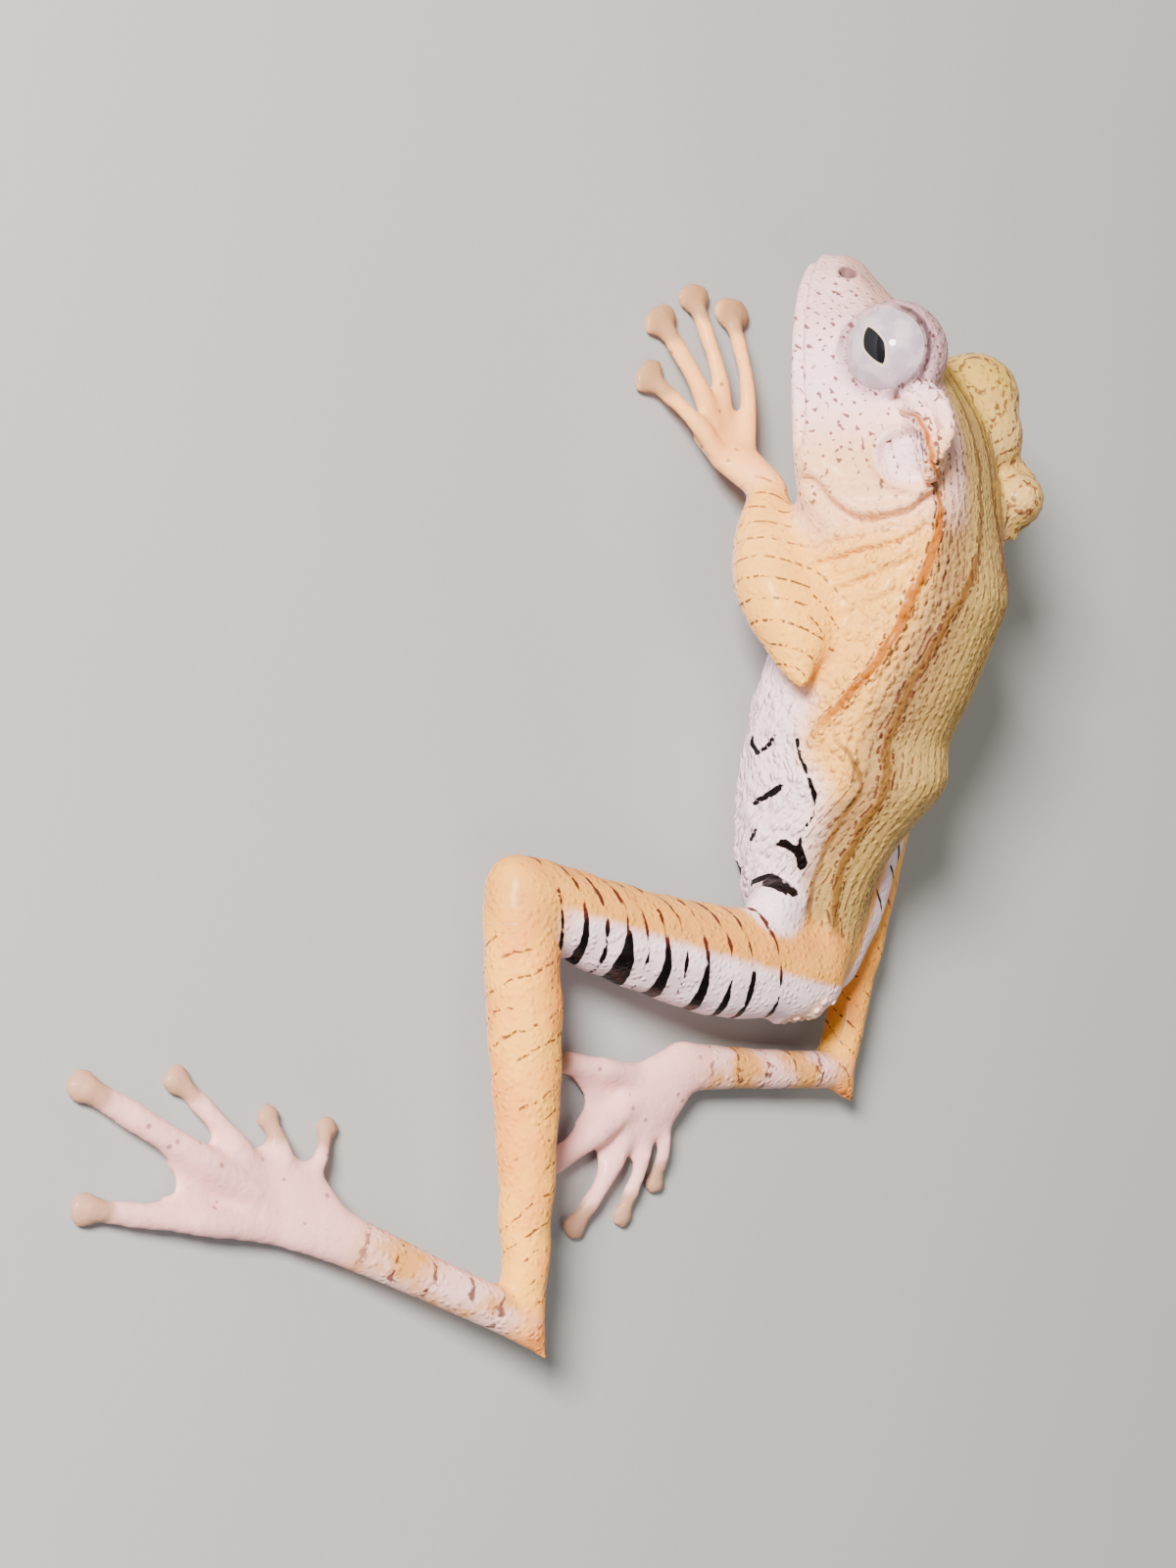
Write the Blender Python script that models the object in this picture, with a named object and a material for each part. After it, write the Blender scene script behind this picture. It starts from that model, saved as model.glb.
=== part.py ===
"""File-eared tree frog, life size, as a still display model resting on the floor.

The frog looks along -X, its right side is +Y and its back is +Z. Sizes are in
millimetres until a mesh is made. The flesh is parted by thin cuts at its joints.
"""

import math

import bmesh
import bpy
from mathutils import Matrix, Vector

MM = 0.001
CUT = 0.3
SLIVER = 0.02
ROUNDING = 1e-9

# Head, in its own frame: x runs back from the snout tip, y to the right, z up from the mouth line.
HEAD_ORIGIN = (-68.4, 6.2, 7.1)
HEAD_YAW = 7.0
HEAD_PITCH = -15.0
HEAD_ROLL = 19.0
# Each row: distance behind the snout tip, half width, height and depth from the mouth line, squareness.
HEAD_PROFILE = (
    (0.0, 1.8, 3.4, 0.5, 2.2),
    (0.7, 3.4, 4.0, 1.1, 2.25),
    (2.4, 5.2, 4.9, 1.7, 2.3),
    (4.5, 6.9, 6.1, 2.0, 2.3),
    (7.0, 8.5, 7.8, 2.3, 2.35),
    (11.0, 10.5, 10.0, 2.6, 2.4),
    (16.0, 12.2, 12.3, 2.8, 2.5),
    (21.0, 13.3, 14.2, 3.0, 2.75),
    (27.0, 13.8, 15.0, 3.2, 2.9),
)

EYE_RADIUS = 4.9
EYE_PLACE = (16.8, 9.7, 9.9)
LID_THICKNESS = 0.5
LID_TILT = 24.0
LID_FORWARD = 0.18
LID_EDGE = 2.1
RIM_GROWTH = 0.3
RIM_SINK = 0.4
RIM_EDGE = 0.3
RIM_FACING = 0.15
RIM_STRETCH = (1.06, 1, 1)
NOSTRIL_PLACE = (4.0, 4.8, 4.3)
NOSTRIL_RADIUS = 0.55
MOUTH_END = 26.5
LIP_RADIUS = 0.75
MOUTH_GROOVE = 0.35
EAR_PLACE = (29.2, 13.0, 10.2)
EAR_RADIUS = 3.1
EAR_DEPTH = 1.0
EAR_FACING = (0.10, 1.0, 0.28)
EAR_STANDS_OUT = 0.25
EAR_TALLNESS = 1.12
# Bony crest from the eye to above the ear: points on the right side of the head, and its broad root.
CREST_POINTS = (
    (20.9, 11.0, 14.0),
    (23.9, 13.2, 15.3),
    (26.9, 14.4, 15.7),
    (29.9, 14.6, 15.3),
    (32.5, 13.6, 14.0),
)
CREST_RADII = (0.9, 1.2, 1.35, 1.3, 0.9)
CREST_ROOT_POINTS = ((19.5, 9.6, 11.6), (24.0, 11.2, 12.4), (28.5, 12.0, 12.6), (33.0, 11.4, 12.0))
CREST_ROOT_RADII = (1.8, 2.6, 2.9, 2.4)
CREST_TEETH = 9
CREST_TOOTH = 0.55
TEETH_START = 0.05
TEETH_SPAN = 0.8
TOOTH_DIRECTION = (0.0, 0.75, 0.66)
TOOTH_STANDS_OUT = 0.1

# Trunk, as sections square to X: x, centre y and z, half width, height above and depth below, roll.
TRUNK_SECTIONS = (
    (12.6, 4.0, 8.4, 1.4, 1.4, 1.4, 14.0),
    (10.5, 3.8, 8.4, 3.2, 3.0, 3.0, 14.0),
    (6.0, 2.9, 8.4, 5.2, 4.7, 5.4, 14.0),
    (0.0, 2.1, 8.8, 7.1, 6.7, 8.2, 15.0),
    (-5.0, 2.9, 9.9, 8.6, 8.6, 10.1, 16.0),
    (-10.5, 4.2, 11.6, 10.3, 11.3, 12.0, 17.0),
    (-19.6, 5.5, 14.4, 12.2, 11.5, 13.2, 18.0),
    (-30.0, 7.3, 17.4, 12.4, 11.0, 12.2, 19.0),
)
TRUNK_SQUARENESS = 2.1
NECK_X = -35.6
NECK_RINGS = 4

# Limb joints, left then right. The floor is z = 0.
SHOULDER = {"left": (-33.5, -2.6, 15.2), "right": (-33.0, 13.6, 11.2)}
ELBOW = {"left": (-24.0, -8.6, 16.0), "right": (-33.0, 27.0, 9.6)}
WRIST = {"left": (-42.5, -4.4, 8.4), "right": (-48.0, 19.5, 5.2)}
HIP = {"left": (10.0, -0.6, 9.8), "right": (8.0, 6.4, 7.4)}
KNEE = {"left": (0.0, -40.0, 6.6), "right": (-23.5, 20.8, 5.0)}
HEEL = {"left": (43.5, -40.5, 8.0), "right": (21.6, 11.2, 3.9)}
ANKLE = {"left": (33.0, -61.5, 3.0), "right": (19.8, -12.5, 2.8)}

# Fingers and toes: tip on the floor for each digit, inner one first.
FINGER_TIPS = {
    "left": ((-62.7, -2.4), (-63.8, -8.4), (-60.8, -13.6), (-54.6, -15.4)),
    "right": ((-57.0, 11.6), (-62.5, 14.6), (-64.0, 20.4), (-57.0, 26.0)),
}
TOE_TIPS = {
    "left": ((23.0, -60.1), (21.4, -67.5), (17.1, -78.4), (17.0, -89.2), (28.4, -88.8)),
    "right": ((32.5, -14.5), (35.5, -19.5), (36.0, -26.5), (30.5, -34.0), (18.0, -31.0)),
}
FINGER_RADII = (1.1, 1.15, 1.25, 1.15)
FINGER_DISCS = (2.2, 2.0, 2.1, 2.0)
TOE_RADII = (0.95, 1.05, 1.2, 1.5, 1.4)
TOE_DISCS = (1.4, 1.45, 1.6, 1.75, 1.8)
DISC_HEIGHT = 1.5
# Thickness of a digit over its own radius, from its root to inside its disc.
DIGIT_SWELLS = (1.15, 1.1, 1.12, 0.92, 0.85, 0.5)
DIGIT_END = 0.9
WEB_THICKNESS = 0.8
# How far out each web reaches along its toes, the inner web first.
TOE_WEBS = (0.42, 0.5, 0.64, 0.68)
WEB_LIFT = 0.6
WEB_STEP = 0.11
WEB_OVERLAP = 0.4
WEB_DIP = 0.35

# Half widths along each limb, as fraction along it, sideways and upright.
UPPER_ARM_GIRTH = ((0.0, 4.0, 4.0), (0.5, 3.7, 3.6), (1.0, 3.2, 3.2))
FOREARM_GIRTH = ((0.0, 3.2, 3.2), (0.4, 4.9, 4.3), (0.7, 4.0, 3.5), (1.0, 2.1, 2.0))
PALM_GIRTH = ((0.0, 2.1, 2.0), (0.6, 3.0, 1.7), (1.0, 2.4, 1.4))
THIGH_GIRTH = ((0.0, 5.2, 4.6), (0.25, 5.9, 5.0), (0.6, 5.3, 4.8), (1.0, 4.0, 4.0))
SHANK_GIRTH = ((0.0, 3.9, 3.9), (0.3, 4.1, 3.8), (0.65, 3.1, 3.0), (1.0, 2.3, 2.4))
TARSUS_GIRTH = ((0.0, 2.3, 2.4), (0.5, 2.4, 2.2), (1.0, 2.8, 2.0))
SOLE_GIRTH = ((0.0, 3.0, 2.0), (0.5, 4.3, 1.8), (1.0, 4.0, 1.5))
# The heel's flap: distance behind the joint and radius, from its root to its tip.
SPUR_STATIONS = ((0.0, 1.7), (1.8, 1.55), (4.0, 0.9), (5.5, 0.26))
# Roots of the digits: how far along the palm they start, how much further in its middle, and their spread.
ROOT_OUTER = 0.55
ROOT_INNER = 0.35
ROOT_SPREAD = 1.3
ROOT_LIFT = 1.2
PALM_END = 0.95
HAND_REACH = 6.5
HAND_KNUCKLES = 1.2
FOOT_REACH = 8.5
FOOT_KNUCKLES = 0.8

LIMB_SIDES = 14
DIGIT_SIDES = 7
HEAD_SIDES = 28
HEAD_RINGS = 21
TRUNK_SIDES = 28
TRUNK_RINGS = 20

SKIN_COLOURS = {
    "head": (0.80, 0.66, 0.55),
    "trunk": (0.78, 0.68, 0.50),
    "limb": (0.80, 0.63, 0.42),
    "eye": (0.72, 0.66, 0.68),
    "ear": (0.76, 0.64, 0.60),
}


def clear_scene():
    for item in list(bpy.data.objects):
        bpy.data.objects.remove(item)


def material(name, colour, roughness):
    made = bpy.data.materials.new(name)
    made.use_nodes = True
    shader = made.node_tree.nodes["Principled BSDF"]
    shader.inputs["Base Color"].default_value = (*colour, 1.0)
    shader.inputs["Roughness"].default_value = roughness
    shader.inputs["Metallic"].default_value = 0.0
    return made


def head_frame():
    """The head's own axes in the frog's frame."""
    turn = Matrix.Rotation(math.radians(-HEAD_YAW), 4, "Z")
    turn = turn @ Matrix.Rotation(math.radians(HEAD_PITCH), 4, "Y")
    turn = turn @ Matrix.Rotation(math.radians(-HEAD_ROLL), 4, "X")
    return Matrix.Translation(HEAD_ORIGIN) @ turn


def smooth_rows(rows, count):
    """Rows of numbers read at even steps of the first one, on a smooth curve through the given rows."""
    keys = [row[0] for row in rows]
    made = []
    for step in range(count):
        key = keys[0] + (keys[-1] - keys[0]) * step / (count - 1)
        i = next(k for k in range(len(keys) - 1) if (key - keys[k]) * (key - keys[k + 1]) <= ROUNDING)
        span = keys[i + 1] - keys[i]
        t = (key - keys[i]) / span
        before = rows[max(i - 1, 0)]
        after = rows[min(i + 2, len(rows) - 1)]
        row = [key]
        for a, b, c, d in zip(before[1:], rows[i][1:], rows[i + 1][1:], after[1:]):
            slope_b = (c - a) / (keys[i + 1] - before[0]) if i else (c - b) / span
            slope_c = (d - b) / (after[0] - keys[i]) if i + 2 < len(rows) else (c - b) / span
            h = (2 * t**3 - 3 * t**2 + 1, t**3 - 2 * t**2 + t, 3 * t**2 - 2 * t**3, t**3 - t**2)
            row.append(h[0] * b + h[1] * span * slope_b + h[2] * c + h[3] * span * slope_c)
        made.append(row)
    return made


def section(half_width, above, below, squareness, sides):
    """A closed outline in the y-z plane, rounder or squarer than an ellipse."""
    points = []
    for k in range(sides):
        angle = 2 * math.pi * k / sides
        c, s = math.cos(angle), math.sin(angle)
        y = half_width * math.copysign(abs(c) ** (2 / squareness), c)
        z = (above if s > 0 else below) * math.copysign(abs(s) ** (2 / squareness), s)
        points.append(Vector((0, y, z)))
    return points


def mesh_object(name, bm):
    bmesh.ops.recalc_face_normals(bm, faces=bm.faces)
    mesh = bpy.data.meshes.new(name)
    bm.to_mesh(mesh)
    bm.free()
    made = bpy.data.objects.new(name, mesh)
    bpy.context.scene.collection.objects.link(made)
    return made


def loft(name, rings):
    """A closed skin over rings of equal count, with a fan at each end."""
    bm = bmesh.new()
    loops = [[bm.verts.new(Vector(p) * MM) for p in ring] for ring in rings]
    for near, far in zip(loops, loops[1:]):
        for k in range(len(near)):
            n = (k + 1) % len(near)
            bm.faces.new((near[k], near[n], far[n], far[k]))
    for loop in (loops[0], loops[-1]):
        middle = bm.verts.new(sum((v.co for v in loop), Vector()) / len(loop))
        for k in range(len(loop)):
            bm.faces.new((loop[k], loop[(k + 1) % len(loop)], middle))
    return mesh_object(name, bm)


def blunt(half, reach, grow):
    """Positions and widths that round the end of a tube of that half width."""
    size = half + grow
    return [(-reach * math.cos(a) * size, size * math.sin(a)) for a in (0.30, 0.75, 1.15)]


def limb_rings(start, end, girth, sides, grow=0.0, up=(0, 0, 1), end_reach=1.0, start_reach=1.0):
    """Rings of a limb from one joint to the next, round beyond both joints."""
    a, b = Vector(start), Vector(end)
    along = (b - a).normalized()
    side = Vector(up).cross(along).normalized()
    upright = along.cross(side)
    length = (b - a).length
    stations = []
    first, last = girth[0], girth[-1]
    for back, size in blunt(first[1], start_reach, grow):
        stations.append((back, size, size * (first[2] + grow) / (first[1] + grow)))
    for t, wide, high in smooth_rows(girth, 8):
        stations.append((t * length, wide + grow, high + grow))
    for back, size in reversed(blunt(last[1], end_reach, grow)):
        stations.append((length - back, size, size * (last[2] + grow) / (last[1] + grow)))
    rings = []
    for where, wide, high in stations:
        centre = a + along * where
        turns = [2 * math.pi * k / sides for k in range(sides)]
        rings.append([centre + side * wide * math.cos(t) + upright * high * math.sin(t) for t in turns])
    return rings


def sweep(name, points, radii, sides):
    """A round tube through points with its own radius at each, closed at both ends."""
    path = [Vector(p) for p in points]
    rings = []
    side = None
    for i, point in enumerate(path):
        along = (path[min(i + 1, len(path) - 1)] - path[max(i - 1, 0)]).normalized()
        side = side or Vector((0.13, 0.21, 1.0)).cross(along).normalized()
        side = (side - along * side.dot(along)).normalized()
        upright = along.cross(side)
        turns = [2 * math.pi * k / sides for k in range(sides)]
        rings.append([point + radii[i] * (side * math.cos(t) + upright * math.sin(t)) for t in turns])
    return loft(name, rings)


def ball(name, centre, radius, segments=24, rings=14, stretch=(1, 1, 1)):
    bm = bmesh.new()
    bmesh.ops.create_uvsphere(bm, u_segments=segments, v_segments=rings, radius=radius * MM)
    bmesh.ops.scale(bm, vec=stretch, verts=bm.verts)
    bmesh.ops.translate(bm, vec=Vector(centre) * MM, verts=bm.verts)
    return mesh_object(name, bm)


def place(item, matrix):
    """Turns an object made in the head's frame, in millimetres, into the frog's frame."""
    shifted = matrix.copy()
    shifted.translation = matrix.translation * MM
    item.data.transform(shifted)
    item.data.update()
    return item


def trim(item, point, outward):
    """Cuts away what lies beyond a plane, and closes the cut."""
    bm = bmesh.new()
    bm.from_mesh(item.data)
    everything = bm.verts[:] + bm.edges[:] + bm.faces[:]
    place_of_cut = Vector(point) * MM
    bmesh.ops.bisect_plane(
        bm, geom=everything, dist=1e-7, plane_co=place_of_cut, plane_no=Vector(outward), clear_outer=True
    )
    open_edges = [e for e in bm.edges if e.is_boundary]
    if open_edges:
        bmesh.ops.holes_fill(bm, edges=open_edges)
    bmesh.ops.recalc_face_normals(bm, faces=bm.faces)
    bm.to_mesh(item.data)
    bm.free()
    return item


def boolean(item, others, operation):
    """Applies one Boolean against a collection of helpers, which are removed."""
    group = bpy.data.collections.new("helpers")
    for other in others:
        group.objects.link(other)
    step = item.modifiers.new("boolean", "BOOLEAN")
    step.operand_type = "COLLECTION"
    step.collection = group
    step.operation = operation
    step.solver = "MANIFOLD"
    graph = bpy.context.evaluated_depsgraph_get()
    result = bpy.data.meshes.new_from_object(item.evaluated_get(graph))
    item.modifiers.clear()
    item.data = result
    for other in others:
        bpy.data.objects.remove(other)
    bpy.data.collections.remove(group)
    return item


def weld_slivers(bm):
    """Collapses the shortest edges that a Boolean leaves, one at a time, where the skin stays closed."""
    for edge in sorted(bm.edges, key=lambda e: e.calc_length()):
        if not edge.is_valid or edge.calc_length() > SLIVER * MM:
            continue
        near, far = edge.verts
        shared = {e.other_vert(near) for e in near.link_edges} & {e.other_vert(far) for e in far.link_edges}
        if len(edge.link_faces) != 2 or len(shared) != 2:
            continue
        bmesh.ops.pointmerge(bm, verts=[near, far], merge_co=(near.co + far.co) / 2)


def tidy_triangles(item):
    """Triangulates, welds slivers of a Boolean, and keeps the largest closed surface."""
    bm = bmesh.new()
    bm.from_mesh(item.data)
    bmesh.ops.triangulate(bm, faces=bm.faces)
    weld_slivers(bm)
    left = set(bm.verts)
    islands = []
    while left:
        seeds = [left.pop()]
        island = set(seeds)
        while seeds:
            for edge in seeds.pop().link_edges:
                for vert in edge.verts:
                    if vert not in island:
                        island.add(vert)
                        seeds.append(vert)
        left -= island
        islands.append(island)
    largest = max(islands, key=len)
    bmesh.ops.delete(bm, geom=[v for v in bm.verts if v not in largest], context="VERTS")
    bm.to_mesh(item.data)
    bm.free()
    return item


def finish(item, finish_material):
    tidy_triangles(item)
    item.data.materials.clear()
    item.data.materials.append(finish_material)
    item.data.shade_smooth()
    item.data.set_sharp_from_angle(angle=math.radians(40))
    return item


def mirrored(place_on_right, hand):
    x, y, z = place_on_right
    return (x, -y if hand == "left" else y, z)


def head_half_width(distance):
    rows = smooth_rows(HEAD_PROFILE, 120)
    nearest = min(rows, key=lambda row: abs(row[0] - distance))
    return nearest[1]


def mouth_path(outset):
    """The line of the mouth, from the left corner round the snout to the right corner."""
    half = []
    steps = 11
    for k in range(steps + 1):
        distance = MOUTH_END * (k / steps) ** 1.7
        half.append((distance, head_half_width(distance) + outset))
    right = [(x, y, 0.0) for x, y in half]
    left = [(x, -y, 0.0) for x, y in reversed(half)]
    return left + [(-outset * 0.8 - 0.1, 0.0, 0.0)] + right


def head_ring(row):
    x, half_width, above, below, squareness = row
    return [p + Vector((x, 0, 0)) for p in section(half_width, above, below, squareness, HEAD_SIDES)]


def trunk_ring(row, grow=0.0):
    x, y, z, half_width, above, below, roll = row
    ring = section(half_width + grow, above + grow, below + grow, TRUNK_SQUARENESS, TRUNK_SIDES)
    turn = Matrix.Rotation(math.radians(-roll), 3, "X")
    return [turn @ p + Vector((x, y, z)) for p in ring]


def neck_rings(start, end):
    """Rings that lead evenly from one ring to another."""
    shares = [k / NECK_RINGS for k in range(1, NECK_RINGS + 1)]
    return [[a.lerp(b, share) for a, b in zip(start, end)] for share in shares]


def head_core():
    rings = [head_ring(row) for row in smooth_rows(HEAD_PROFILE, HEAD_RINGS)]
    to_head = head_frame().inverted()
    behind = [to_head @ p for p in trunk_ring(TRUNK_SECTIONS[-1])]
    return loft("head", rings + neck_rings(rings[-1], behind))


def lid_pieces(hand):
    """The rim of flesh round an eyeball, and the upper lid over it."""
    centre = mirrored(EYE_PLACE, hand)
    outer = EYE_RADIUS + CUT + LID_THICKNESS
    side = -1 if hand == "left" else 1
    lid = ball("lid", centre, outer, 20, 13)
    tilt = math.radians(LID_TILT)
    down_and_out = Vector((-LID_FORWARD, side * math.cos(tilt), -math.sin(tilt))).normalized()
    trim(lid, Vector(centre) + down_and_out * LID_EDGE, down_and_out)
    sunk = Vector(centre) - Vector((0, side * RIM_SINK, RIM_SINK))
    rim = ball("rim", sunk, outer + RIM_GROWTH, 20, 12, RIM_STRETCH)
    trim(rim, Vector(centre) + Vector((0, side * RIM_EDGE, 0)), Vector((0, side, RIM_FACING)).normalized())
    return [lid, rim]


def crest_pieces(hand):
    """The file: a ridge behind the eye, and the teeth along it."""
    points = [mirrored(p, hand) for p in CREST_POINTS]
    root = [mirrored(p, hand) for p in CREST_ROOT_POINTS]
    pieces = [sweep("crest", points, CREST_RADII, 8), sweep("crest_root", root, CREST_ROOT_RADII, 10)]
    for k in range(CREST_TEETH):
        share = TEETH_START + TEETH_SPAN * k / (CREST_TEETH - 1)
        at = share * (len(points) - 1)
        i = min(int(at), len(points) - 2)
        middle = Vector(points[i]).lerp(Vector(points[i + 1]), at - i)
        out = Vector(mirrored(TOOTH_DIRECTION, hand))
        reach = CREST_RADII[i] + TOOTH_STANDS_OUT
        pieces.append(ball("tooth", middle + out * reach, CREST_TOOTH, 6, 4))
    return pieces


def ear_disc(hand, radius, stations, name):
    """A flat drum that looks sideways, from stations of depth and share of its radius."""
    outward = Vector(mirrored(EAR_FACING, hand)).normalized()
    outer = Vector(mirrored(EAR_PLACE, hand)) + outward * EAR_STANDS_OUT
    across = Vector((0, 0, 1)).cross(outward).normalized()
    upright = outward.cross(across) * EAR_TALLNESS
    turns = [2 * math.pi * k / 20 for k in range(20)]
    outline = [radius * (across * math.cos(t) + upright * math.sin(t)) for t in turns]
    rings = []
    for depth, size in stations:
        centre = outer + outward * depth
        rings.append([centre + size * point for point in outline])
    return loft(name, rings)


def build_head(materials):
    head = head_core()
    additions = []
    for hand in ("left", "right"):
        additions += lid_pieces(hand)
        additions += crest_pieces(hand)
    lip_points = mouth_path(-0.25)
    lip = sweep("lip", lip_points, [LIP_RADIUS] * len(lip_points), 6)
    additions.append(lip)
    boolean(head, additions, "UNION")
    removals = []
    groove_points = mouth_path(LIP_RADIUS - 0.05)
    removals.append(sweep("groove", groove_points, [MOUTH_GROOVE] * len(groove_points), 4))
    for hand in ("left", "right"):
        removals.append(ball("socket", mirrored(EYE_PLACE, hand), EYE_RADIUS + CUT, 20, 13))
        removals.append(ball("nostril", mirrored(NOSTRIL_PLACE, hand), NOSTRIL_RADIUS, 8, 6))
        removals.append(ear_disc(hand, EAR_RADIUS + CUT, ((-EAR_DEPTH - CUT, 1.0), (2.5, 1.0)), "recess"))
    boolean(head, removals, "DIFFERENCE")
    place(head, head_frame())
    trim(head, (NECK_X - CUT / 2, 0, 0), (1, 0, 0))
    finish(head, materials["head"])
    for hand in ("left", "right"):
        eye = ball("eye_" + hand, mirrored(EYE_PLACE, hand), EYE_RADIUS, 20, 13)
        finish(place(eye, head_frame()), materials["eye"])
        ear = ear_disc(hand, EAR_RADIUS, ((-EAR_DEPTH, 1.0), (-0.25, 1.0), (0.0, 0.72)), "ear_" + hand)
        finish(place(ear, head_frame()), materials["ear"])


def trunk_loft(name, grow=0.0):
    rings = [trunk_ring(row, grow) for row in smooth_rows(TRUNK_SECTIONS, TRUNK_RINGS)]
    if grow:
        for p in rings[0]:
            p.x += grow
    row = list(HEAD_PROFILE[-1])
    for k in (1, 2, 3):
        row[k] += grow
    ahead = [head_frame() @ p for p in head_ring(row)]
    return loft(name, rings + neck_rings(rings[-1], ahead))


def build_trunk(materials):
    trunk = trunk_loft("trunk")
    trim(trunk, (NECK_X + CUT / 2, 0, 0), (-1, 0, 0))
    finish(flatten_on_floor(trunk), materials["trunk"])


def part_at_joint(first, second, before, joint, after):
    """Cuts two lengths of one limb apart by the plane that halves their angle."""
    inward = (Vector(before) - Vector(joint)).normalized()
    outward = (Vector(after) - Vector(joint)).normalized()
    across = (outward - inward).normalized()
    trim(first, Vector(joint) - across * CUT / 2, across)
    trim(second, Vector(joint) + across * CUT / 2, -across)


def digit_pieces(root, tip, radius, disc_radius, knuckle_height):
    """A finger or toe that comes down to a round disc flat on the floor."""
    a = Vector(root)
    b = Vector((tip[0], tip[1], radius * DIGIT_END))
    along = b - a
    middle = a + along * 0.5 + Vector((0, 0, knuckle_height))
    late = a + along * 0.8 + Vector((0, 0, knuckle_height * 0.4))
    points = [a, a.lerp(middle, 0.55) + Vector((0, 0, knuckle_height * 0.2)), middle, late, b]
    radii = [radius * swell for swell in DIGIT_SWELLS]
    flat = Vector((along.x, along.y, 0)).normalized()
    squashed = (1, 1, DISC_HEIGHT * 0.62 / disc_radius)
    disc = ball("disc", (b.x, b.y, DISC_HEIGHT * 0.5), disc_radius, 10, 6, squashed)
    tail = b + flat * disc_radius * 0.3
    tail.z = DISC_HEIGHT * 0.5
    return [sweep("digit", points + [tail], radii, DIGIT_SIDES), disc]


def web_piece(root_a, tip_a, root_b, tip_b, reach, lift):
    """A thin skin between two toes, from their roots to part of the way out."""
    near = [Vector((root[0], root[1], 0)) for root in (root_a, root_b)]
    far = [start.lerp(Vector((tip[0], tip[1], 0)), reach) for start, tip in zip(near, (tip_a, tip_b))]
    corners = [near[0], far[0], far[1], near[1]]
    sideways = (corners[0] + corners[1] - corners[2] - corners[3]).normalized() * WEB_OVERLAP
    corners = [corners[0] + sideways, corners[1] + sideways, corners[2] - sideways, corners[3] - sideways]
    dip = (corners[1] + corners[2]) / 2
    base = (corners[0] + corners[3]) / 2
    dip = dip.lerp(base, WEB_DIP)
    outline = [corners[0], corners[1], dip, corners[2], corners[3]]
    bm = bmesh.new()
    low = [bm.verts.new((p + Vector((0, 0, lift))) * MM) for p in outline]
    high = [bm.verts.new((p + Vector((0, 0, lift + WEB_THICKNESS))) * MM) for p in outline]
    for k in range(len(outline)):
        n = (k + 1) % len(outline)
        bm.faces.new((low[k], low[n], high[n], high[k]))
    for ring in (low, high):
        bm.faces.new((ring[0], ring[1], ring[2]))
        bm.faces.new((ring[0], ring[2], ring[4]))
        bm.faces.new((ring[2], ring[3], ring[4]))
    return mesh_object("web", bm)


def flatten_on_floor(item):
    """Lets nothing reach below the floor, so that soles and discs rest on flats."""
    for vert in item.data.vertices:
        vert.co.z = max(vert.co.z, 0.0)
    return item


def palm_layout(joint, tips, girth, reach):
    """The palm's far end, and the direction across it from the first digit to the last."""
    start = Vector(joint)
    middle = sum((Vector((t[0], t[1], 0)) for t in tips), Vector()) / len(tips)
    heading = (middle - Vector((start.x, start.y, 0))).normalized()
    end = start + heading * reach
    end.z = girth[-1][2] * PALM_END
    across = Vector((0, 0, 1)).cross(heading)
    if across.dot(Vector((tips[-1][0], tips[-1][1], 0)) - middle) < 0:
        across = -across
    return end, across


def extremity(name, joint, tips, girth, reach, digits, knuckles, webs):
    """A hand or foot: its palm, its digits with their discs and, on a foot, its webs."""
    start = Vector(joint)
    end, across = palm_layout(joint, tips, girth, reach)
    palm = loft(name, limb_rings(start, end, girth, LIMB_SIDES))
    pieces = []
    roots = []
    for k, (tip, radius, disc) in enumerate(zip(tips, *digits)):
        spread = k / (len(tips) - 1) - 0.5
        share = ROOT_OUTER + ROOT_INNER * (1 - abs(2 * spread))
        root = start.lerp(end, share) + across * spread * girth[1][1] * ROOT_SPREAD
        root.z = max(root.z * DIGIT_END, radius * ROOT_LIFT)
        roots.append(root)
        pieces += digit_pieces(root, tip, radius, disc, knuckles)
    for k, web in enumerate(webs):
        lift = WEB_THICKNESS * WEB_LIFT + WEB_STEP * (k % 2)
        pieces.append(web_piece(roots[k], tips[k], roots[k + 1], tips[k + 1], web, lift))
    boolean(palm, pieces, "UNION")
    return palm


def spur(joint, before, after):
    """The pointed flap of skin on the heel."""
    start = Vector(joint)
    back = (start - Vector(before)).normalized() + (start - Vector(after)).normalized()
    back.normalize()
    points = [start + back * distance for distance, _ in SPUR_STATIONS]
    return sweep("spur", points, [radius for _, radius in SPUR_STATIONS], 8)


def make_hand(hand):
    digits = (FINGER_RADII, FINGER_DISCS)
    return extremity(
        "hand_" + hand, WRIST[hand], FINGER_TIPS[hand], PALM_GIRTH, HAND_REACH, digits, HAND_KNUCKLES, ()
    )


def make_foot(hand):
    digits = (TOE_RADII, TOE_DISCS)
    return extremity(
        "foot_" + hand, ANKLE[hand], TOE_TIPS[hand], SOLE_GIRTH, FOOT_REACH, digits, FOOT_KNUCKLES, TOE_WEBS
    )


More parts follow.
